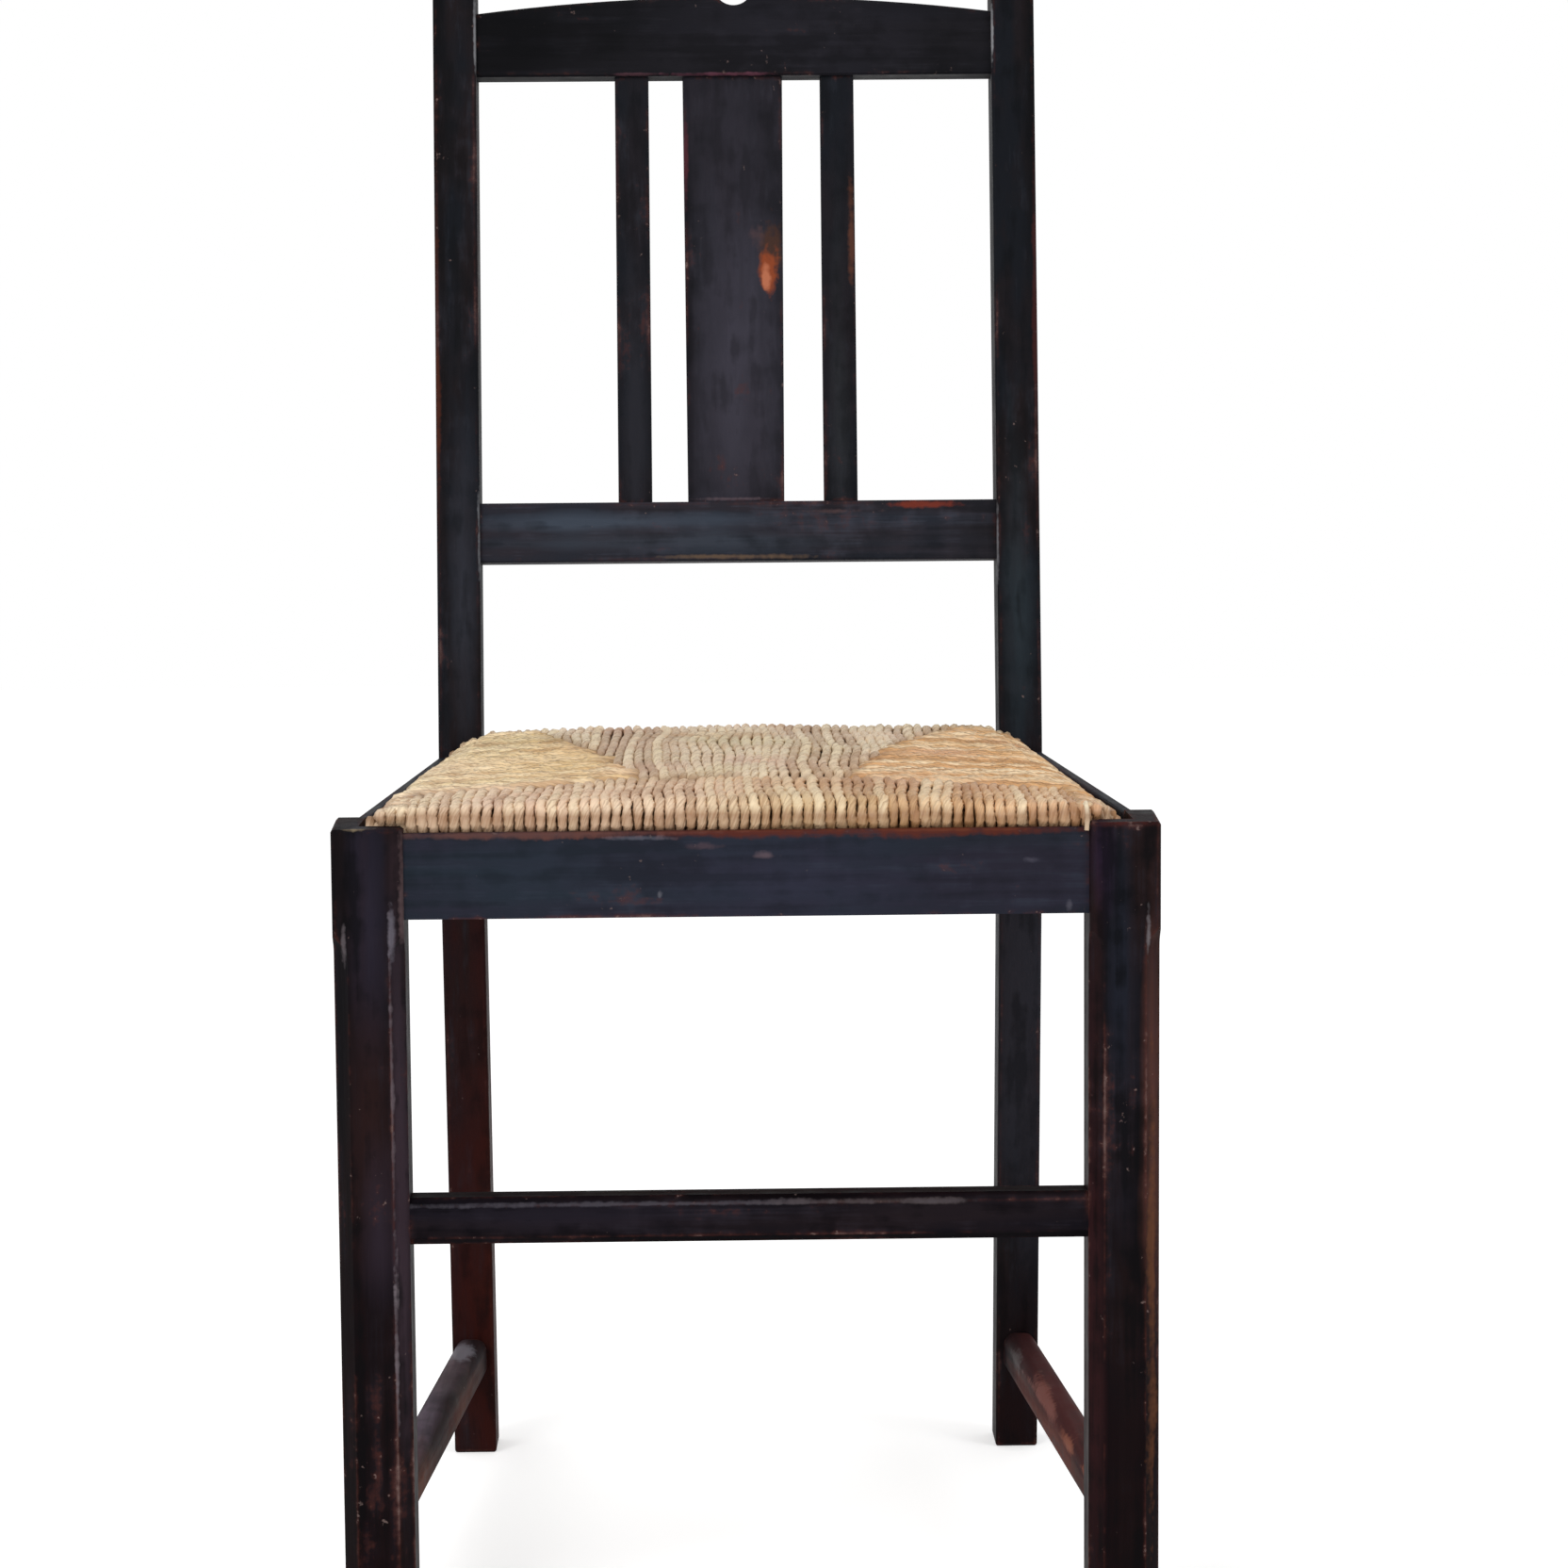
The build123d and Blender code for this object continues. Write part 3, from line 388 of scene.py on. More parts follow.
front_rail_paint = painted_wood(
    "front_rail_paint", "X", (29, 35, 43), (35, 34, 45), 0.5, rail_rubs_and_highlight, rail_stains, 0.5
)
finish(front_rail_paint, "front_seat_rail")
side_rail_paint = painted_wood("side_rail_paint", "Y", (24, 28, 35), (30, 27, 34), 0.7)
finish(side_rail_paint, "side_seat_rail_left", "side_seat_rail_right")
rear_rail_paint = painted_wood("rear_rail_paint", "X", (25, 26, 32), (29, 25, 29), 0.7)
finish(rear_rail_paint, "rear_seat_rail")

# ---------------------------------------------------------------- back rails
# The crest rail and the lower back rail stand between the posts, square-edged boards whose
# paint is still thick, with brown showing along the lower rail's edges.
crest_rubs = (
    ((-0.001, 0.195, 0.8785), (0.034, 0.006, 0.0014), (104, 62, 76), 0.6),
    ((-0.0655, 0.195, 0.8785), (0.014, 0.006, 0.0012), (86, 56, 64), 0.5),
)
crest_stains = (
    ((-0.14, 0.196, 0.90), (0.09, 0.05, 0.05), (6, 6, 8), 0.9),
    ((0.04, 0.196, 0.90), (0.09, 0.05, 0.03), (34, 33, 40), 0.6),
)
crest_paint = painted_wood(
    "crest_paint", "X", (19, 19, 23), (23, 22, 26), 0.4, crest_rubs, crest_stains, 0.7
)
finish(crest_paint, "crest_rail")
lower_rail_rubs = (
    ((-0.01, 0.153, 0.5785), (0.065, 0.008, 0.0018), (104, 84, 66), 0.6),
    ((0.117, 0.157, 0.6095), (0.025, 0.008, 0.0022), (122, 50, 34), 0.65),
    ((0.056, 0.156, 0.606), (0.034, 0.006, 0.0024), (92, 70, 70), 0.5),
)
lower_rail_stains = (
    ((-0.07, 0.156, 0.600), (0.11, 0.03, 0.007), (60, 68, 80), 0.8),
    ((-0.03, 0.156, 0.588), (0.12, 0.03, 0.007), (54, 60, 70), 0.7),
    ((0.16, 0.156, 0.592), (0.03, 0.03, 0.02), (22, 20, 22), 0.7),
)
lower_rail_paint = painted_wood(
    "lower_rail_paint", "X", (33, 36, 44), (40, 37, 43), 0.5,
    lower_rail_rubs, lower_rail_stains, 0.7,
)
finish(lower_rail_paint, "lower_back_rail")

# ---------------------------------------------------------------- splat and slats
# A flat splat between two narrow slats, tenoned into both back rails. A knock has opened
# the splat's paint down to orange wood near its right edge.
splat_rubs = (
    ((0.0215, 0.183, 0.767), (0.0072, 0.008, 0.022), (66, 44, 34), 0.75),
    ((0.0205, 0.182, 0.755), (0.0058, 0.008, 0.015), (134, 64, 36), 0.8),
    ((0.0190, 0.182, 0.751), (0.0026, 0.008, 0.008), (176, 108, 80), 0.75),
    ((0.0130, 0.183, 0.778), (0.0050, 0.008, 0.008), (76, 58, 60), 0.45),
    ((-0.0310, 0.191, 0.825), (0.0022, 0.008, 0.035), (80, 38, 46), 0.6),
    ((-0.001, 0.162, 0.614), (0.03, 0.008, 0.0014), (100, 84, 90), 0.5),
)
splat_stains_and_shade = (
    ((0.0, 0.18, 0.68), (0.028, 0.1, 0.16), (57, 55, 65), 0.8),
    ((0.0, 0.18, 0.84), (0.022, 0.1, 0.06), (40, 38, 45), 0.6),
    # a dark line down the splat's left edge: painted shade
    ((-0.0305, 0.18, 0.74), (0.004, 0.1, 0.16), (12, 12, 16), 0.7),
)
splat_paint = painted_wood(
    "splat_paint", "Z", (25, 25, 30), (33, 31, 37), 0.5, splat_rubs, splat_stains_and_shade, 0.55
)
finish(splat_paint, "centre_splat")
slat_rubs = (
    ((0.0725, 0.182, 0.775), (0.0024, 0.008, 0.034), (92, 56, 42), 0.6),
    ((-0.0745, 0.19, 0.82), (0.0022, 0.008, 0.06), (56, 32, 34), 0.5),
)
slat_stains = (
    ((0.064, 0.18, 0.66), (0.007, 0.1, 0.12), (40, 42, 46), 0.7),
    ((-0.064, 0.18, 0.65), (0.007, 0.1, 0.12), (38, 38, 44), 0.7),
)
slat_paint = painted_wood(
    "slat_paint", "Z", (20, 22, 27), (26, 24, 28), 0.5, slat_rubs, slat_stains, 0.6
)
finish(slat_paint, "side_slat_left", "side_slat_right")

# ---------------------------------------------------------------- stretchers
# One bevelled stretcher between the front legs and two rounded ones low at the sides, where
# shoes have polished the paint down to its red ground.
front_stretcher_highlights = (
    # pale lines along the upper front arris: painted highlights
    ((-0.05, -0.2245, 0.2474), (0.15, 0.004, 0.0015), (84, 80, 88), 0.5),
    ((0.06, -0.2245, 0.2474), (0.07, 0.004, 0.0016), (78, 68, 68), 0.45),
)
front_stretcher_stains_and_shade = (
    # the next two darken the top bevel and the bottom edge: painted shade
    ((0.0, -0.213, 0.2520), (0.3, 0.012, 0.0042), (14, 1, 1), 0.95),
    ((0.0, -0.224, 0.2265), (0.3, 0.03, 0.0045), (6, 5, 7), 0.9),
    ((-0.10, -0.225, 0.240), (0.1, 0.01, 0.008), (34, 30, 38), 0.6),
    ((0.10, -0.225, 0.240), (0.1, 0.01, 0.008), (33, 26, 29), 0.6),
)
front_stretcher_paint = painted_wood(
    "front_stretcher_paint", "X", (18, 16, 21), (27, 21, 24), 0.6,
    front_stretcher_highlights, front_stretcher_stains_and_shade, gloss=0.01,
)
finish(front_stretcher_paint, "front_stretcher")
side_stretcher_rubs_and_highlight = (
    ((0.1890, -0.16, 0.072), (0.007, 0.06, 0.005), (140, 78, 58), 0.6),
    ((0.1845, -0.083, 0.072), (0.007, 0.04, 0.005), (156, 96, 74), 0.55),
    ((0.1790, 0.02, 0.073), (0.007, 0.08, 0.005), (134, 86, 78), 0.65),
    ((0.1690, 0.125, 0.072), (0.008, 0.02, 0.007), (92, 86, 86), 0.6),
    # a pale patch on the left stretcher by the rear post: painted highlight
    ((-0.1800, 0.140, 0.077), (0.010, 0.02, 0.006), (122, 120, 128), 0.6),
)
side_stretcher_stains_and_sheen = (
    # the pale violet-grey top of the left stretcher: painted sheen over its greyed paint
    ((-0.202, -0.15, 0.078), (0.012, 0.08, 0.005), (104, 90, 102), 0.8),
    ((-0.193, -0.02, 0.078), (0.012, 0.10, 0.005), (96, 84, 96), 0.8),
    ((-0.184, 0.10, 0.078), (0.012, 0.08, 0.005), (100, 86, 92), 0.8),
    ((-0.192, -0.12, 0.062), (0.010, 0.14, 0.012), (94, 56, 44), 0.85),
    ((-0.176, 0.07, 0.062), (0.011, 0.14, 0.012), (80, 48, 40), 0.85),
    ((0.194, -0.03, 0.077), (0.030, 0.30, 0.010), (80, 42, 41), 0.8),
    ((0.183, -0.03, 0.060), (0.015, 0.30, 0.012), (104, 56, 48), 0.8),
)
side_stretcher_paint = painted_wood(
    "side_stretcher_paint", "Y", (27, 22, 25), (40, 29, 30), 0.6,
    side_stretcher_rubs_and_highlight, side_stretcher_stains_and_sheen, streaked=0.6, gloss=0.01,
)
finish(side_stretcher_paint, "side_stretcher_left", "side_stretcher_right")

# ---------------------------------------------------------------- corner blocks, screws
# A plain pine block is screwed into each corner under the seat with two slotted steel
# screws. None of it was ever painted.
pine = ((176, 132, 88), (142, 100, 62))


def bare_wood(name, along, light, dark):
    """Planed wood, darkened here and there by age."""
    material, tree = new_material(name)
    place = add(tree, "ShaderNodeTexCoord", output="Object")
    squeeze = [0.08 if axis == along else 1.0 for axis in "XYZ"]
    fibres = add(tree, "ShaderNodeMapping", None, {"Vector": place, "Scale": squeeze})
    rings = uneven(tree, fibres, 160, 3)
    pores = uneven(tree, fibres, 900)
    stain_or_painted_light = uneven(tree, place, 22)
    colour = mix(tree, share(tree, rings + pores * 0.5, -0.16, 0.18), srgb(*dark), srgb(*light))
    colour = mix(tree, share(tree, stain_or_painted_light, 0.0, 0.3) * 0.5, colour, srgb(84, 58, 40))
    skin = {
        "Base Color": colour,
        "Roughness": rings * 0.4 + 0.62,
        "Normal": bumpy(tree, 0.4, 0.0005, rings + pores * 0.6),
    }
    close_material(tree, skin)
    return material


block_wood = bare_wood("block_wood", "X", *pine)
finish(
    block_wood,
    "corner_block_front_left",
    "corner_block_front_right",
    "corner_block_rear_left",
    "corner_block_rear_right",
)

screw_steel, tree = new_material("screw_steel_old")
place = add(tree, "ShaderNodeTexCoord", output="Object")
rust = share(tree, uneven(tree, place, 500, 3), 0.02, 0.16)
steel = {
    "Base Color": mix(tree, rust, srgb(150, 148, 142), srgb(104, 66, 44)),
    "Metallic": 1.0 - rust * 0.8,
    "Roughness": rust * 0.4 + 0.34,
    "Normal": bumpy(tree, 0.3, 0.0003, rust),
}
close_material(tree, steel)
finish(screw_steel, "corner_block_screws")

# ---------------------------------------------------------------- seat frame
# Four flat bars of the same pine, tenoned together. The rush is wound round them and hides
# them on every side.
bar_wood_across = bare_wood("bar_wood_across", "X", *pine)
bar_wood_deep = bare_wood("bar_wood_deep", "Y", *pine)
finish(bar_wood_across, "seat_frame_front", "seat_frame_rear")
finish(bar_wood_deep, "seat_frame_left", "seat_frame_right")

# ---------------------------------------------------------------- rush stuffing
# Waste rush packed between the two layers of the weave: a lumpy pad that shows only in the
# gaps, brown and darker than the strands, partly as painted shade for those gaps. All of
# the seat's sizes here are in millimetres, as (x, behind, height), where behind is measured
# from the front faces of the legs.
front_wall = 11.1
rear_wall = 365.4
seat_top = 476.8
seat_fall = 7.3
seat_crown = 7.0
crown_half = 215.0
pad_inset = 5.5  # inside the walls of the weave
pad_depth = 7.2  # under its top
pad_floor = 444.0
pad_rim = 450.0  # height at which its upper and lower skins meet
pad_round = 16.0  # how far in from the rim it reaches its full thickness
pad_shoulder = 2.0  # higher over the side edges than pad_depth has it
lump_width = 9.0
lump_height = 1.2


def at(x, behind, height):
    """A point in metres from millimetres."""
    return Vector((x / 1000, leg_front_y + behind / 1000, height / 1000))


def side_wall(side, behind):
    """Distance from the middle to a side of the weave: the right if side is above 0."""
    in_front, taper = (205.8, 0.0700) if side > 0 else (208.1, 0.0765)
    return in_front - taper * (behind - front_wall)


def crown(x, behind):
    """Height of the top of the weave away from its edges."""
    fall = seat_fall * (rear_wall - behind) / (rear_wall - front_wall)
    return seat_top - fall - seat_crown * (x / crown_half) ** 2


def rolled(gap, radius, top):
    """Height of a rounded edge at this distance from its wall, without limit further in."""
    missing = max(0.0, radius - max(0.0, gap))
    return top - radius + math.sqrt(radius**2 - missing**2) if missing else math.inf


def side_round(side, behind):
    """Radius and top of a rounded side edge. The right one is trodden lower in front."""
    radius, in_front, rise = (24.0, 465.6, 4.4) if side > 0 else (22.5, 468.3, 0.4)
    return radius, in_front + rise * behind / rear_wall


def shoulder(x, behind):
    """Height of the rounded side edge on this side of the middle."""
    return rolled(side_wall(x, behind) - abs(x), *side_round(x, behind))


pad_mesh = bmesh.new()
columns, rows = 64, 56
skins = {}
for skin in (1, -1):
    for row in range(rows + 1):
        for column in range(columns + 1):
            depth = (1 - math.cos(math.pi * row / rows)) / 2
            behind = front_wall + pad_inset + (rear_wall - front_wall - 2 * pad_inset) * depth
            way = -math.cos(math.pi * column / columns)
            half = side_wall(way, behind) - pad_inset
            x = half * way
            rim = row in (0, rows) or column in (0, columns)
            full_front = 3 * (behind - front_wall - pad_inset)
            border = min(half - abs(x), full_front, rear_wall - pad_inset - behind)
            swell = math.sqrt(max(0.0, 1 - (1 - min(1.0, border / pad_round)) ** 2))
            lump = noise.noise(Vector((x, behind, 0)) / lump_width) * lump_height
            top = min(crown(x, behind), shoulder(x, behind) + pad_shoulder) - pad_depth
            top = pad_rim + (top - pad_rim + lump) * swell
            height = top if skin == 1 else pad_rim - (pad_rim - pad_floor - lump) * swell
            if skin == 1 or not rim:
                skins[skin, row, column] = pad_mesh.verts.new(at(x, behind, height))
            else:
                skins[skin, row, column] = skins[1, row, column]
for skin in (1, -1):
    for row in range(rows):
        for column in range(columns):
            around = ((row, column), (row, column + 1), (row + 1, column + 1), (row + 1, column))
            face = [skins[skin, *corner] for corner in around]
            pad_mesh.faces.new(face if skin == 1 else reversed(face))
pad_data = bpy.data.meshes.new("rush_pad")
pad_mesh.to_mesh(pad_data)
pad_mesh.free()
pad_data.shade_smooth()
pad = bpy.data.objects.new("rush_pad", pad_data)
scene.collection.objects.link(pad)

pad_rush, tree = new_material("packed_rush")
place = add(tree, "ShaderNodeTexCoord", output="Object")
bits = uneven(tree, place, 260, 4)
shade = share(tree, bits, -0.15, 0.2)
# a brown darker than the strands: the stuffing's own colour, and partly painted shade
packed = {
    "Base Color": mix(tree, shade, srgb(112, 76, 48), srgb(176, 134, 92)),
    "Roughness": bits * 0.3 + 0.82,
    "Normal": bumpy(tree, 0.8, 0.001, bits),
}
close_material(tree, packed)
pad_data.materials.append(pad_rush)
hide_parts("rush_stuffing")
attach(pad, "seat")

# ---------------------------------------------------------------- rush weave
# One long strand of twisted rush is wound over each rail in turn. Every winding comes up
# from a seam, over the edge and back to a seam below, so that the four fields of the seat
# meet along lines that run in from the corners. The front edge bulges over the rail's lip.
strand_radius = 3.1
loose_radius = 1.5
strand_flat = 0.86  # thickness over width
twist_pitch = 38.0
front_windings = 71
rear_windings = 64
side_windings = 62
front_span = (-203.0, 404.0)  # x of the first front winding, and from there to the last
rear_span = (-176.5, 353.0)
side_gap = 3.4  # from either end of a side to its nearest winding
side_point = (58, 116)  # x and behind of the tip of each side field
front_seam = (  # x, behind
    (204, 11), (196, 34), (184, 68), (172, 84), (146, 91), (115, 88), (88, 100), side_point
)
rear_seam = (
    (181, 364), (132, 361), (120, 345), (112, 315), (90, 266), (77, 215), (67, 158), side_point
)
meeting_line = 110.0  # where the front and rear fields meet in the middle
jag_width = 9.0  # how soon the raggedness of a seam changes
middle_jag = 16.0
seam_jag = 0.3  # of middle_jag, where a front or rear winding meets a side field
side_jag = 9.0
drift_most = 6.0
drift_across = 42.0  # how soon the drift changes, across the windings and along them
drift_along = 70.0
drift_start = 8.0  # a winding runs straight for so far from its wall
drift_rise = 30.0  # and drifts fully so much further in
side_drift = 0.6  # of the others'
weave_floor = 440.2
shortest_underside = 12.0
front_round = (15.0, 471.0)  # radius and top of the rounded edge
rear_round = (14.0, 476.0)
corner_round = 12.5
bend_steps = 8
path_step = 2.3
top_step = 3.8  # between the points of a winding
hidden_step = 9.0
hidden_below = 446.0
seam_dip = 3.0  # how far a winding sinks on its last stretch before the seam
seam_stretch = 10.0
front_rise = (466.0, 0.35)  # height at the front wall, and the slope behind it
leg_inner = 184  # x beyond which the weave lies over the top of a leg
corner_shoulder = 463.5  # a side edge lower than this goes down behind a leg's front
front_edge = (  # distance behind the wall, height
    (4.9, 463), (1.5, 462.3), (-0.6, 460.5), (-2.3, 458.6), (-2.8, 457), (-2.2, 455.6),
    (-0.8, 454.6), (2.2, 452.5), (2.8, 449), (3.0, 445), (4.6, 441.6), (8, weave_floor),
)
leg_edge = (  # the same where the weave lies over the top of a leg
    (4.9, 462.6), (1.5, 462.0), (-1.6, 461.0), (-2.8, 460.2), (-1.2, 458.9), (1.6, 456.8),
    (2.8, 453), (3.0, 445), (4.6, 441.6), (8, weave_floor),
)
corner_edge = (  # and where a rounded corner goes down behind the front of a leg
    (4.9, 460), (3.7, 457.5), (3.1, 453), (3.0, 445), (4.6, 441.6), (8, weave_floor),
)
loose_strand = (  # x, behind, height
    (183.0, 12, 463.5), (183.2, 7.5, 464.6), (183.6, 4.2, 461.8), (183.7, 3.0, 458),
    (183.5, 2.4, 454), (183.2, 2.2, 450.5),
)


def between(points, place):
    """Read a line of (place, result) points at a place."""
    points = sorted(points)
    for (start, first), (end, last) in zip(points, points[1:]):
        if place <= end:
            return first + (last - first) * max(0.0, (place - start) / (end - start))
    return points[-1][1]


def corner_inset(gap):
    """How far the rounded corner draws a wall in at this distance from the next wall."""
    missing = max(0.0, corner_round - max(0.0, gap))
    return corner_round - math.sqrt(corner_round**2 - missing**2)


def weave_top(x, behind):
    """Height of the top of the weave, with its side and rear edges."""
    return min(crown(x, behind), shoulder(x, behind), rolled(rear_wall - behind, *rear_round))


def rounded_edge(radius, top):
    """The hidden side of a winding from the top of a rounded edge down to the floor."""
    bend = radius - strand_radius
    points = []
    for step in range(bend_steps + 1):
        angle = math.pi / 2 * (1 - step / bend_steps)
        points.append((radius - bend * math.cos(angle), top - radius + bend * math.sin(angle)))
    return points + [(2.9, 447), (3.0, 444.6), (4.6, 441.6), (8, weave_floor)]


def winding(reach, edge, height):
    """One winding from the seam on top to the seam below, as (distance from wall, height).

    reach is the distance from wall to seam, edge the way round the rail, and height gives
    the top of the weave at a distance from the wall.
    """
    reach = max(reach, edge[0][0] + 3)
    points = [(reach + 4.5, height(reach) - 10), (reach + 1.5, height(reach) - 6)]
    distance = reach
    while distance > edge[0][0] + 2:
        dip = seam_dip * max(0.0, 1 - (reach - distance) / seam_stretch) ** 2
        points.append((distance, height(distance) - strand_radius - dip))
        distance -= path_step
    points += [(away, min(level, height(away) - strand_radius + 0.4)) for away, level in edge]
    under = max(reach, shortest_underside)
    return points + [(under, weave_floor), (under + 4, weave_floor + 5)]


def evenly(points, step_above, step_below):
    """Points along a line, close together on top and further apart underneath."""
    spaced = [points[0]]
    left = step_above
    for start, end in zip(points, points[1:]):
        run = (end - start).length
        while run > left:
            start = start.lerp(end, left / run)
            spaced.append(start)
            run -= left
            left = step_above if start.z > hidden_below / 1000 else step_below
        left -= run
    return spaced + [points[-1]]


def drift(x, behind, away):
    """How far a winding strays sideways, away from the walls."""
    stray = noise.noise(Vector((x / drift_across, behind / drift_along, 7.7))) * drift_most
    return stray * min(1.0, max(0.0, away - drift_start) / drift_rise)


def seam_behind(seam, x, row):
    """How far behind the legs' faces a front or rear winding ends. row sets its raggedness."""
    jag = middle_jag * noise.noise(Vector((x / jag_width, row, 3.1)))
    if abs(x) > side_point[0]:
        return between(seam, abs(x)) + jag * seam_jag
    return meeting_line + jag


def front_winding(x):
    """The points of one winding over the front edge."""

    def top(away):
        return min(weave_top(x, front_wall + away), front_rise[0] + away * front_rise[1])

    edge = leg_edge if abs(x) > leg_inner else front_edge
    edge = corner_edge if shoulder(x, front_wall) < corner_shoulder else edge
    inset = corner_inset(side_wall(x, front_wall) - abs(x))
    return [
        at(x + drift(x, away, away), front_wall + away + inset, level)
        for away, level in winding(seam_behind(front_seam, x, 5) - front_wall, edge, top)
    ]


def rear_winding(x):
    """The points of one winding over the rear edge."""

    def top(away):
        return weave_top(x, rear_wall - away)

    edge = rounded_edge(*rear_round)
    inset = corner_inset(side_wall(x, rear_wall) - abs(x))
    return [
        at(x + drift(x, rear_wall - away, away), rear_wall - away - inset, level)
        for away, level in winding(rear_wall - seam_behind(rear_seam, x, 4), edge, top)
    ]


def side_winding(side, behind):
    """The points of one winding over the left edge, or the right one if side is 1."""
    wall = side_wall(side, behind)
    front_edge_top = rolled(behind - front_wall, *front_round)

    def top(away):
        return min(weave_top(side * (wall - away), behind), front_edge_top)

    seam = front_seam if behind < side_point[1] else rear_seam
    seam_x = between([(along, x) for x, along in seam], behind)
    seam_x += side_jag * noise.noise(Vector((behind / jag_width, side, 5.5)))
    edge = rounded_edge(*side_round(side, behind))
    inset = corner_inset(min(behind - front_wall, rear_wall - behind))
    return [
        at(
            side * (wall - away - inset),
            behind + drift(behind, side * 90 + away, away) * side_drift,
            level,
        )
        for away, level in winding(wall - seam_x, edge, top)
    ]


def spread(count, first, length):
    """So many places, evenly spaced."""
    return [first + length * turn / (count - 1) for turn in range(count)]


side_length = rear_wall - front_wall - 2 * side_gap
side_places = spread(side_windings, front_wall + side_gap, side_length)
windings = {  # the loose end is the tip of one strand, come out beside the right leg
    "front": [front_winding(x) for x in spread(front_windings, *front_span)],
    "left": [side_winding(-1, behind) for behind in side_places],
    "rear": [rear_winding(x) for x in spread(rear_windings, *rear_span)],
    "right": [side_winding(1, behind) for behind in side_places],
    "loose_end": [[at(*point) for point in loose_strand]],
}


def rush_twister(rush):
    """Geometry nodes that turn each line of edges into a twisted strand of rush."""
    tree = bpy.data.node_groups.new("rush_twister", "GeometryNodeTree")
    face = tree.interface
    face.new_socket("Geometry", in_out="INPUT", socket_type="NodeSocketGeometry")
    face.new_socket("Geometry", in_out="OUTPUT", socket_type="NodeSocketGeometry")
    for name in ("Strand Radius", "Flatness", "Twist Pitch", "Wander"):
        face.new_socket(name, in_out="INPUT", socket_type="NodeSocketFloat")
    face.new_socket("Seed", in_out="INPUT", socket_type="NodeSocketInt")
    given = add(tree, "NodeGroupInput")
    number = {"data_type": "FLOAT"}

    def keep(geometry, name, value, domain="POINT"):
        """Store a number on the geometry, for the material to read by its name."""
        inputs = {"Geometry": geometry, "Name": name, "Value": value}
        return add(tree, "GeometryNodeStoreNamedAttribute", {**number, "domain": domain}, inputs)

    def vector_math(operation, inputs):
        return add(tree, "ShaderNodeVectorMath", {"operation": operation}, inputs)

    lines = add(tree, "GeometryNodeMeshToCurve", None, {"Mesh": given["Geometry"]})
    chance = {2: 0.0, 3: 1.0, 8: given["Seed"]}
    tone = add(tree, "FunctionNodeRandomValue", number, chance, 1)
    lines = keep(lines, "tone", tone, "CURVE")
    own_tone = add(tree, "GeometryNodeInputNamedAttribute", number, {"Name": "tone"})

    where = add(tree, "GeometryNodeInputPosition")
    slow = {"Vector": where, "Scale": 27.0, "Detail": 1.0}
    sway = add(tree, "ShaderNodeTexNoise", None, slow)["Color"]
    sway = vector_math("SUBTRACT", {0: sway, 1: (0.5, 0.5, 0.5)})
    sway = vector_math("SCALE", {0: sway, "Scale": given["Wander"]})
    lines = add(tree, "GeometryNodeSetPosition", None, {"Geometry": lines, "Offset": sway})

    length = add(tree, "GeometryNodeSplineParameter")["Length"]
    per_turn = {0: length, 1: given["Twist Pitch"]}
    turns = add(tree, "ShaderNodeMath", {"operation": "DIVIDE"}, per_turn)
    tilt = turns * (2 * math.pi) + own_tone * 31.0
    lines = add(tree, "GeometryNodeSetCurveTilt", None, {"Curve": lines, "Tilt": tilt})
    lines = keep(lines, "along", length)

    ring = add(tree, "GeometryNodeCurvePrimitiveCircle", None, {"Resolution": 8, "Radius": 1.0})
    oval = add(tree, "ShaderNodeCombineXYZ", None, {"X": 1.12, "Y": given["Flatness"], "Z": 1.0})
    ring = add(tree, "GeometryNodeTransform", None, {"Geometry": ring, "Scale": oval})
    turn = add(tree, "GeometryNodeSplineParameter")["Factor"] * (2 * math.pi)
    ring = keep(ring, "across", add(tree, "ShaderNodeMath", {"operation": "COSINE"}, {0: turn}))
    ring = keep(ring, "upward", add(tree, "ShaderNodeMath", {"operation": "SINE"}, {0: turn}))

    bulge = add(tree, "ShaderNodeTexNoise", None, {"Vector": where, "Scale": 70.0, "Detail": 1.0})
    girth = given["Strand Radius"] * (own_tone * 0.2 + bulge * 0.5 + 0.65)
    swept = {"Curve": lines, "Profile Curve": ring, "Scale": girth, "Fill Caps": True}
    tubes = add(tree, "GeometryNodeCurveToMesh", None, swept)
    tubes = add(tree, "GeometryNodeSetShadeSmooth", None, {"Geometry": tubes})
    tubes = add(tree, "GeometryNodeRealizeInstances", None, {"Geometry": tubes})
    tubes = add(tree, "GeometryNodeSetMaterial", None, {"Geometry": tubes, "Material": rush})
    add(tree, "NodeGroupOutput", None, {"Geometry": tubes})
    return tree


def twist(piece, tree, **values):
    """Run a node tree on a piece with these inputs and keep the result as its plain mesh."""
    modifier = piece.modifiers.new("twister", "NODES")
    modifier.node_group = tree
    for item in tree.interface.items_tree:
        key = item.name.lower().replace(" ", "_")
        if item.in_out == "INPUT" and key in values:
            modifier[item.identifier] = values[key]
    graph = bpy.context.evaluated_depsgraph_get()
    made = bpy.data.meshes.new_from_object(
        piece.evaluated_get(graph), preserve_all_data_layers=True, depsgraph=graph
    )
    piece.modifiers.clear()
    piece.data = made


twisted_rush, tree = new_material("twisted_rush")
place = add(tree, "ShaderNodeTexCoord", output="Object")
split = add(tree, "ShaderNodeSeparateXYZ", None, {"Vector": place})
tone, which_field, along, across, upward = (
    add(tree, "ShaderNodeAttribute", {"attribute_name": name}, output="Fac")
    for name in ("tone", "field", "along", "across", "upward")
)
own_start = add(tree, "ShaderNodeCombineXYZ", None, {"X": tone * 57.0})


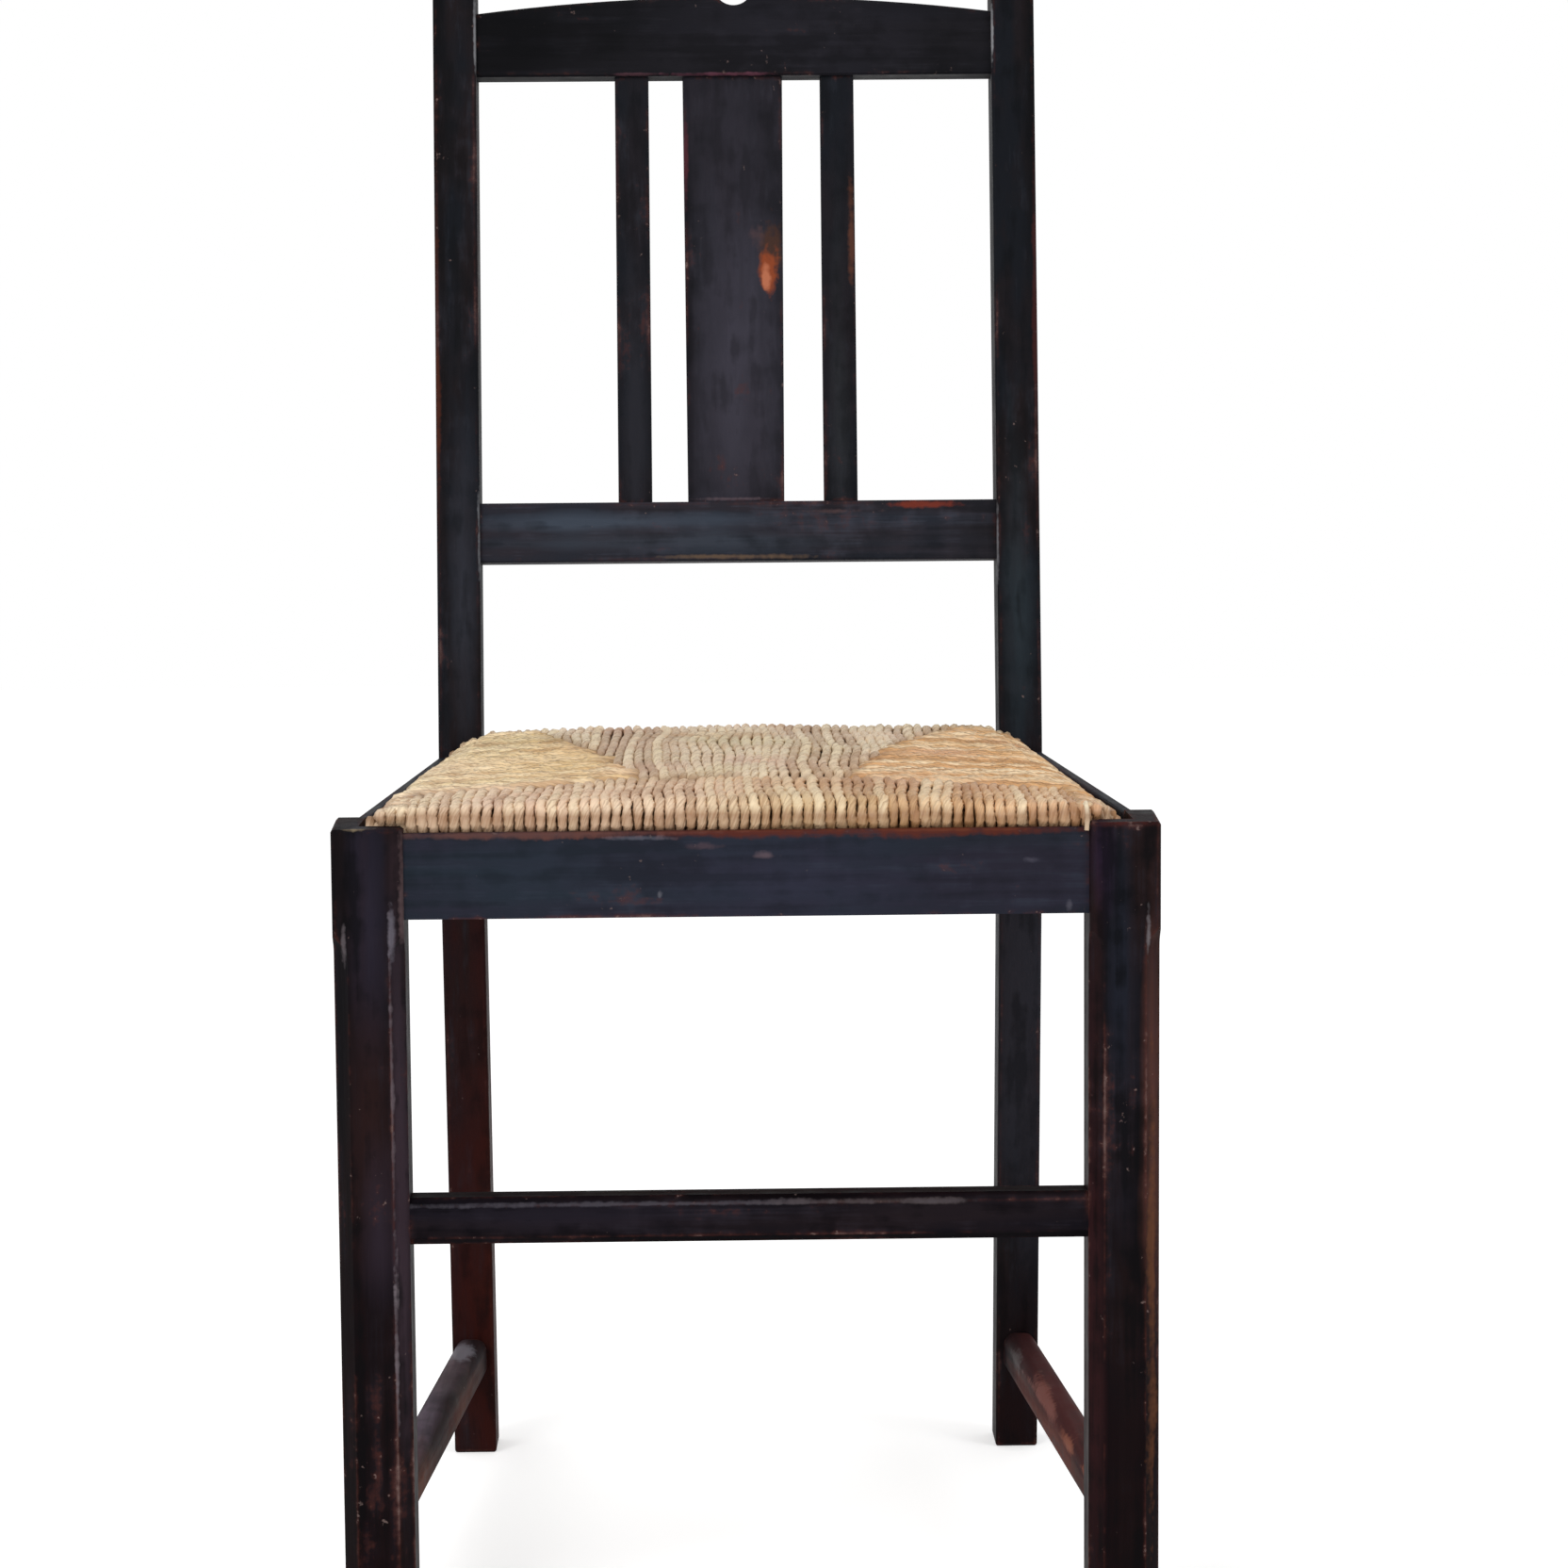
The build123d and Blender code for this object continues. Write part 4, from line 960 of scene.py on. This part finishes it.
def round_the_strand(length_scale, width_scale):
    """A place on a strand's skin, which turns with its twist."""
    skin = {"X": along * length_scale, "Y": across * width_scale, "Z": upward * width_scale}
    skin = add(tree, "ShaderNodeCombineXYZ", None, skin)
    return add(tree, "ShaderNodeVectorMath", {"operation": "ADD"}, {0: skin, 1: own_start})


blades = uneven(tree, round_the_strand(54, 2.6), 1.0, 3)
fibres = uneven(tree, round_the_strand(40, 2.4), 1.0, 1)
clouds = uneven(tree, place, 26)
field_colours = {
    "stops": (
        (0.0, srgb(232, 194, 154)),  # front
        (0.2, srgb(230, 196, 144)),  # left
        (0.4, srgb(242, 222, 194)),  # rear
        (0.7, srgb(222, 174, 120)),  # right
    ),
}
base = add(tree, "ShaderNodeValToRGB", field_colours, {"Fac": which_field})
base.socket.node.color_ramp.interpolation = "CONSTANT"
broad = add(tree, "ShaderNodeMapping", None, {"Vector": place, "Scale": (0.4, 1.6, 1.0)})
bundles = uneven(tree, broad, 32, 2)
hues = uneven(tree, place, 11, 1)
base = mix(tree, share(tree, hues, 0.02, 0.2) * 0.5, base, srgb(226, 182, 164))
base = mix(tree, share(tree, hues, -0.02, -0.2) * 0.5, base, srgb(206, 190, 142))
base = mix(tree, share(tree, bundles, 0.0, -0.22) * 0.5, base, srgb(190, 138, 84))
base = mix(tree, share(tree, bundles, 0.0, 0.22) * 0.5, base, srgb(240, 224, 190))
sun_side = share(tree, split["X"] + bundles * 0.1, -0.13, -0.19)
base = mix(tree, sun_side * 0.6, base, srgb(238, 222, 186))
aged = share(tree, split["X"] + bundles * 0.1, 0.0, 0.1) + share(tree, split["Y"], 0.02, -0.08)
base = mix(tree, share(tree, aged, 1.0, 2.0) * 0.45, base, srgb(206, 152, 98))
fresh = share(tree, split["X"] + bundles * 0.1, 0.03, -0.03) + share(tree, split["Y"], -0.12, -0.15)
base = mix(tree, share(tree, fresh, 1.0, 2.0) * 0.55, base, srgb(246, 218, 194))
pale = share(tree, tone * 1.3 + blades * 1.5 + clouds * 1.2, 0.6, 1.4)
dark = share(tree, tone * 1.3 + blades * 1.6 + clouds * 1.2, 0.5, -0.15)
colour = mix(tree, pale * 0.75, base, srgb(246, 226, 190))
colour = mix(tree, dark * 0.6, colour, srgb(160, 116, 78))
colour = mix(tree, share(tree, fibres + blades * 0.4, 0.0, 0.22) * 0.5, colour, srgb(140, 98, 62))
# painted shade where each strand's end dives into its seam
seam_shade_painted = share(tree, along + clouds * 0.02, 0.018, 0.008)
colour = mix(tree, seam_shade_painted * 0.55, colour, srgb(132, 90, 54))
loose = share(tree, which_field, 0.85, 0.95)
colour = mix(tree, loose * 0.7, colour, srgb(250, 238, 208))
# painted shade where the weave's edges turn down, below about 464 mm, eased a little lowest down
level = split["Z"] + clouds * 0.006 + split["X"] * 0.004
edge_shade_painted = share(tree, level, 0.4644, 0.4600) - share(tree, level, 0.4585, 0.4550) * 0.3
colour = mix(tree, edge_shade_painted * 0.76, colour, srgb(132, 88, 50))
twisted = {
    "Base Color": colour,
    "Roughness": fibres * 0.3 + 0.46,
    "Specular IOR Level": 0.5,
    "Normal": bumpy(tree, 0.7, 0.0008, blades - fibres * 1.2),
}
close_material(tree, twisted)

twister = rush_twister(twisted_rush)
for number, (field, lines) in enumerate(windings.items()):
    guide_points, guide_edges = [], []
    for points in lines:
        spaced = evenly(points, top_step / 1000, hidden_step / 1000)
        first = len(guide_points)
        guide_points += spaced
        guide_edges += [(first + i, first + i + 1) for i in range(len(spaced) - 1)]
    guide = bpy.data.meshes.new("rush_" + field)
    guide.from_pydata(guide_points, guide_edges, [])
    guide.attributes.new("field", "FLOAT", "POINT").data.foreach_set(
        "value", [number / (len(windings) - 1)] * len(guide_points)
    )
    weave = bpy.data.objects.new("rush_" + field, guide)
    scene.collection.objects.link(weave)
    twist(
        weave,
        twister,
        strand_radius=(loose_radius if field == "loose_end" else strand_radius) / 1000,
        flatness=strand_flat,
        twist_pitch=twist_pitch / 1000,
        wander=0.0 if field == "loose_end" else 0.0028,
        seed=11 + number,
    )
    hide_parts("rush_weave")
    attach(weave, "seat")
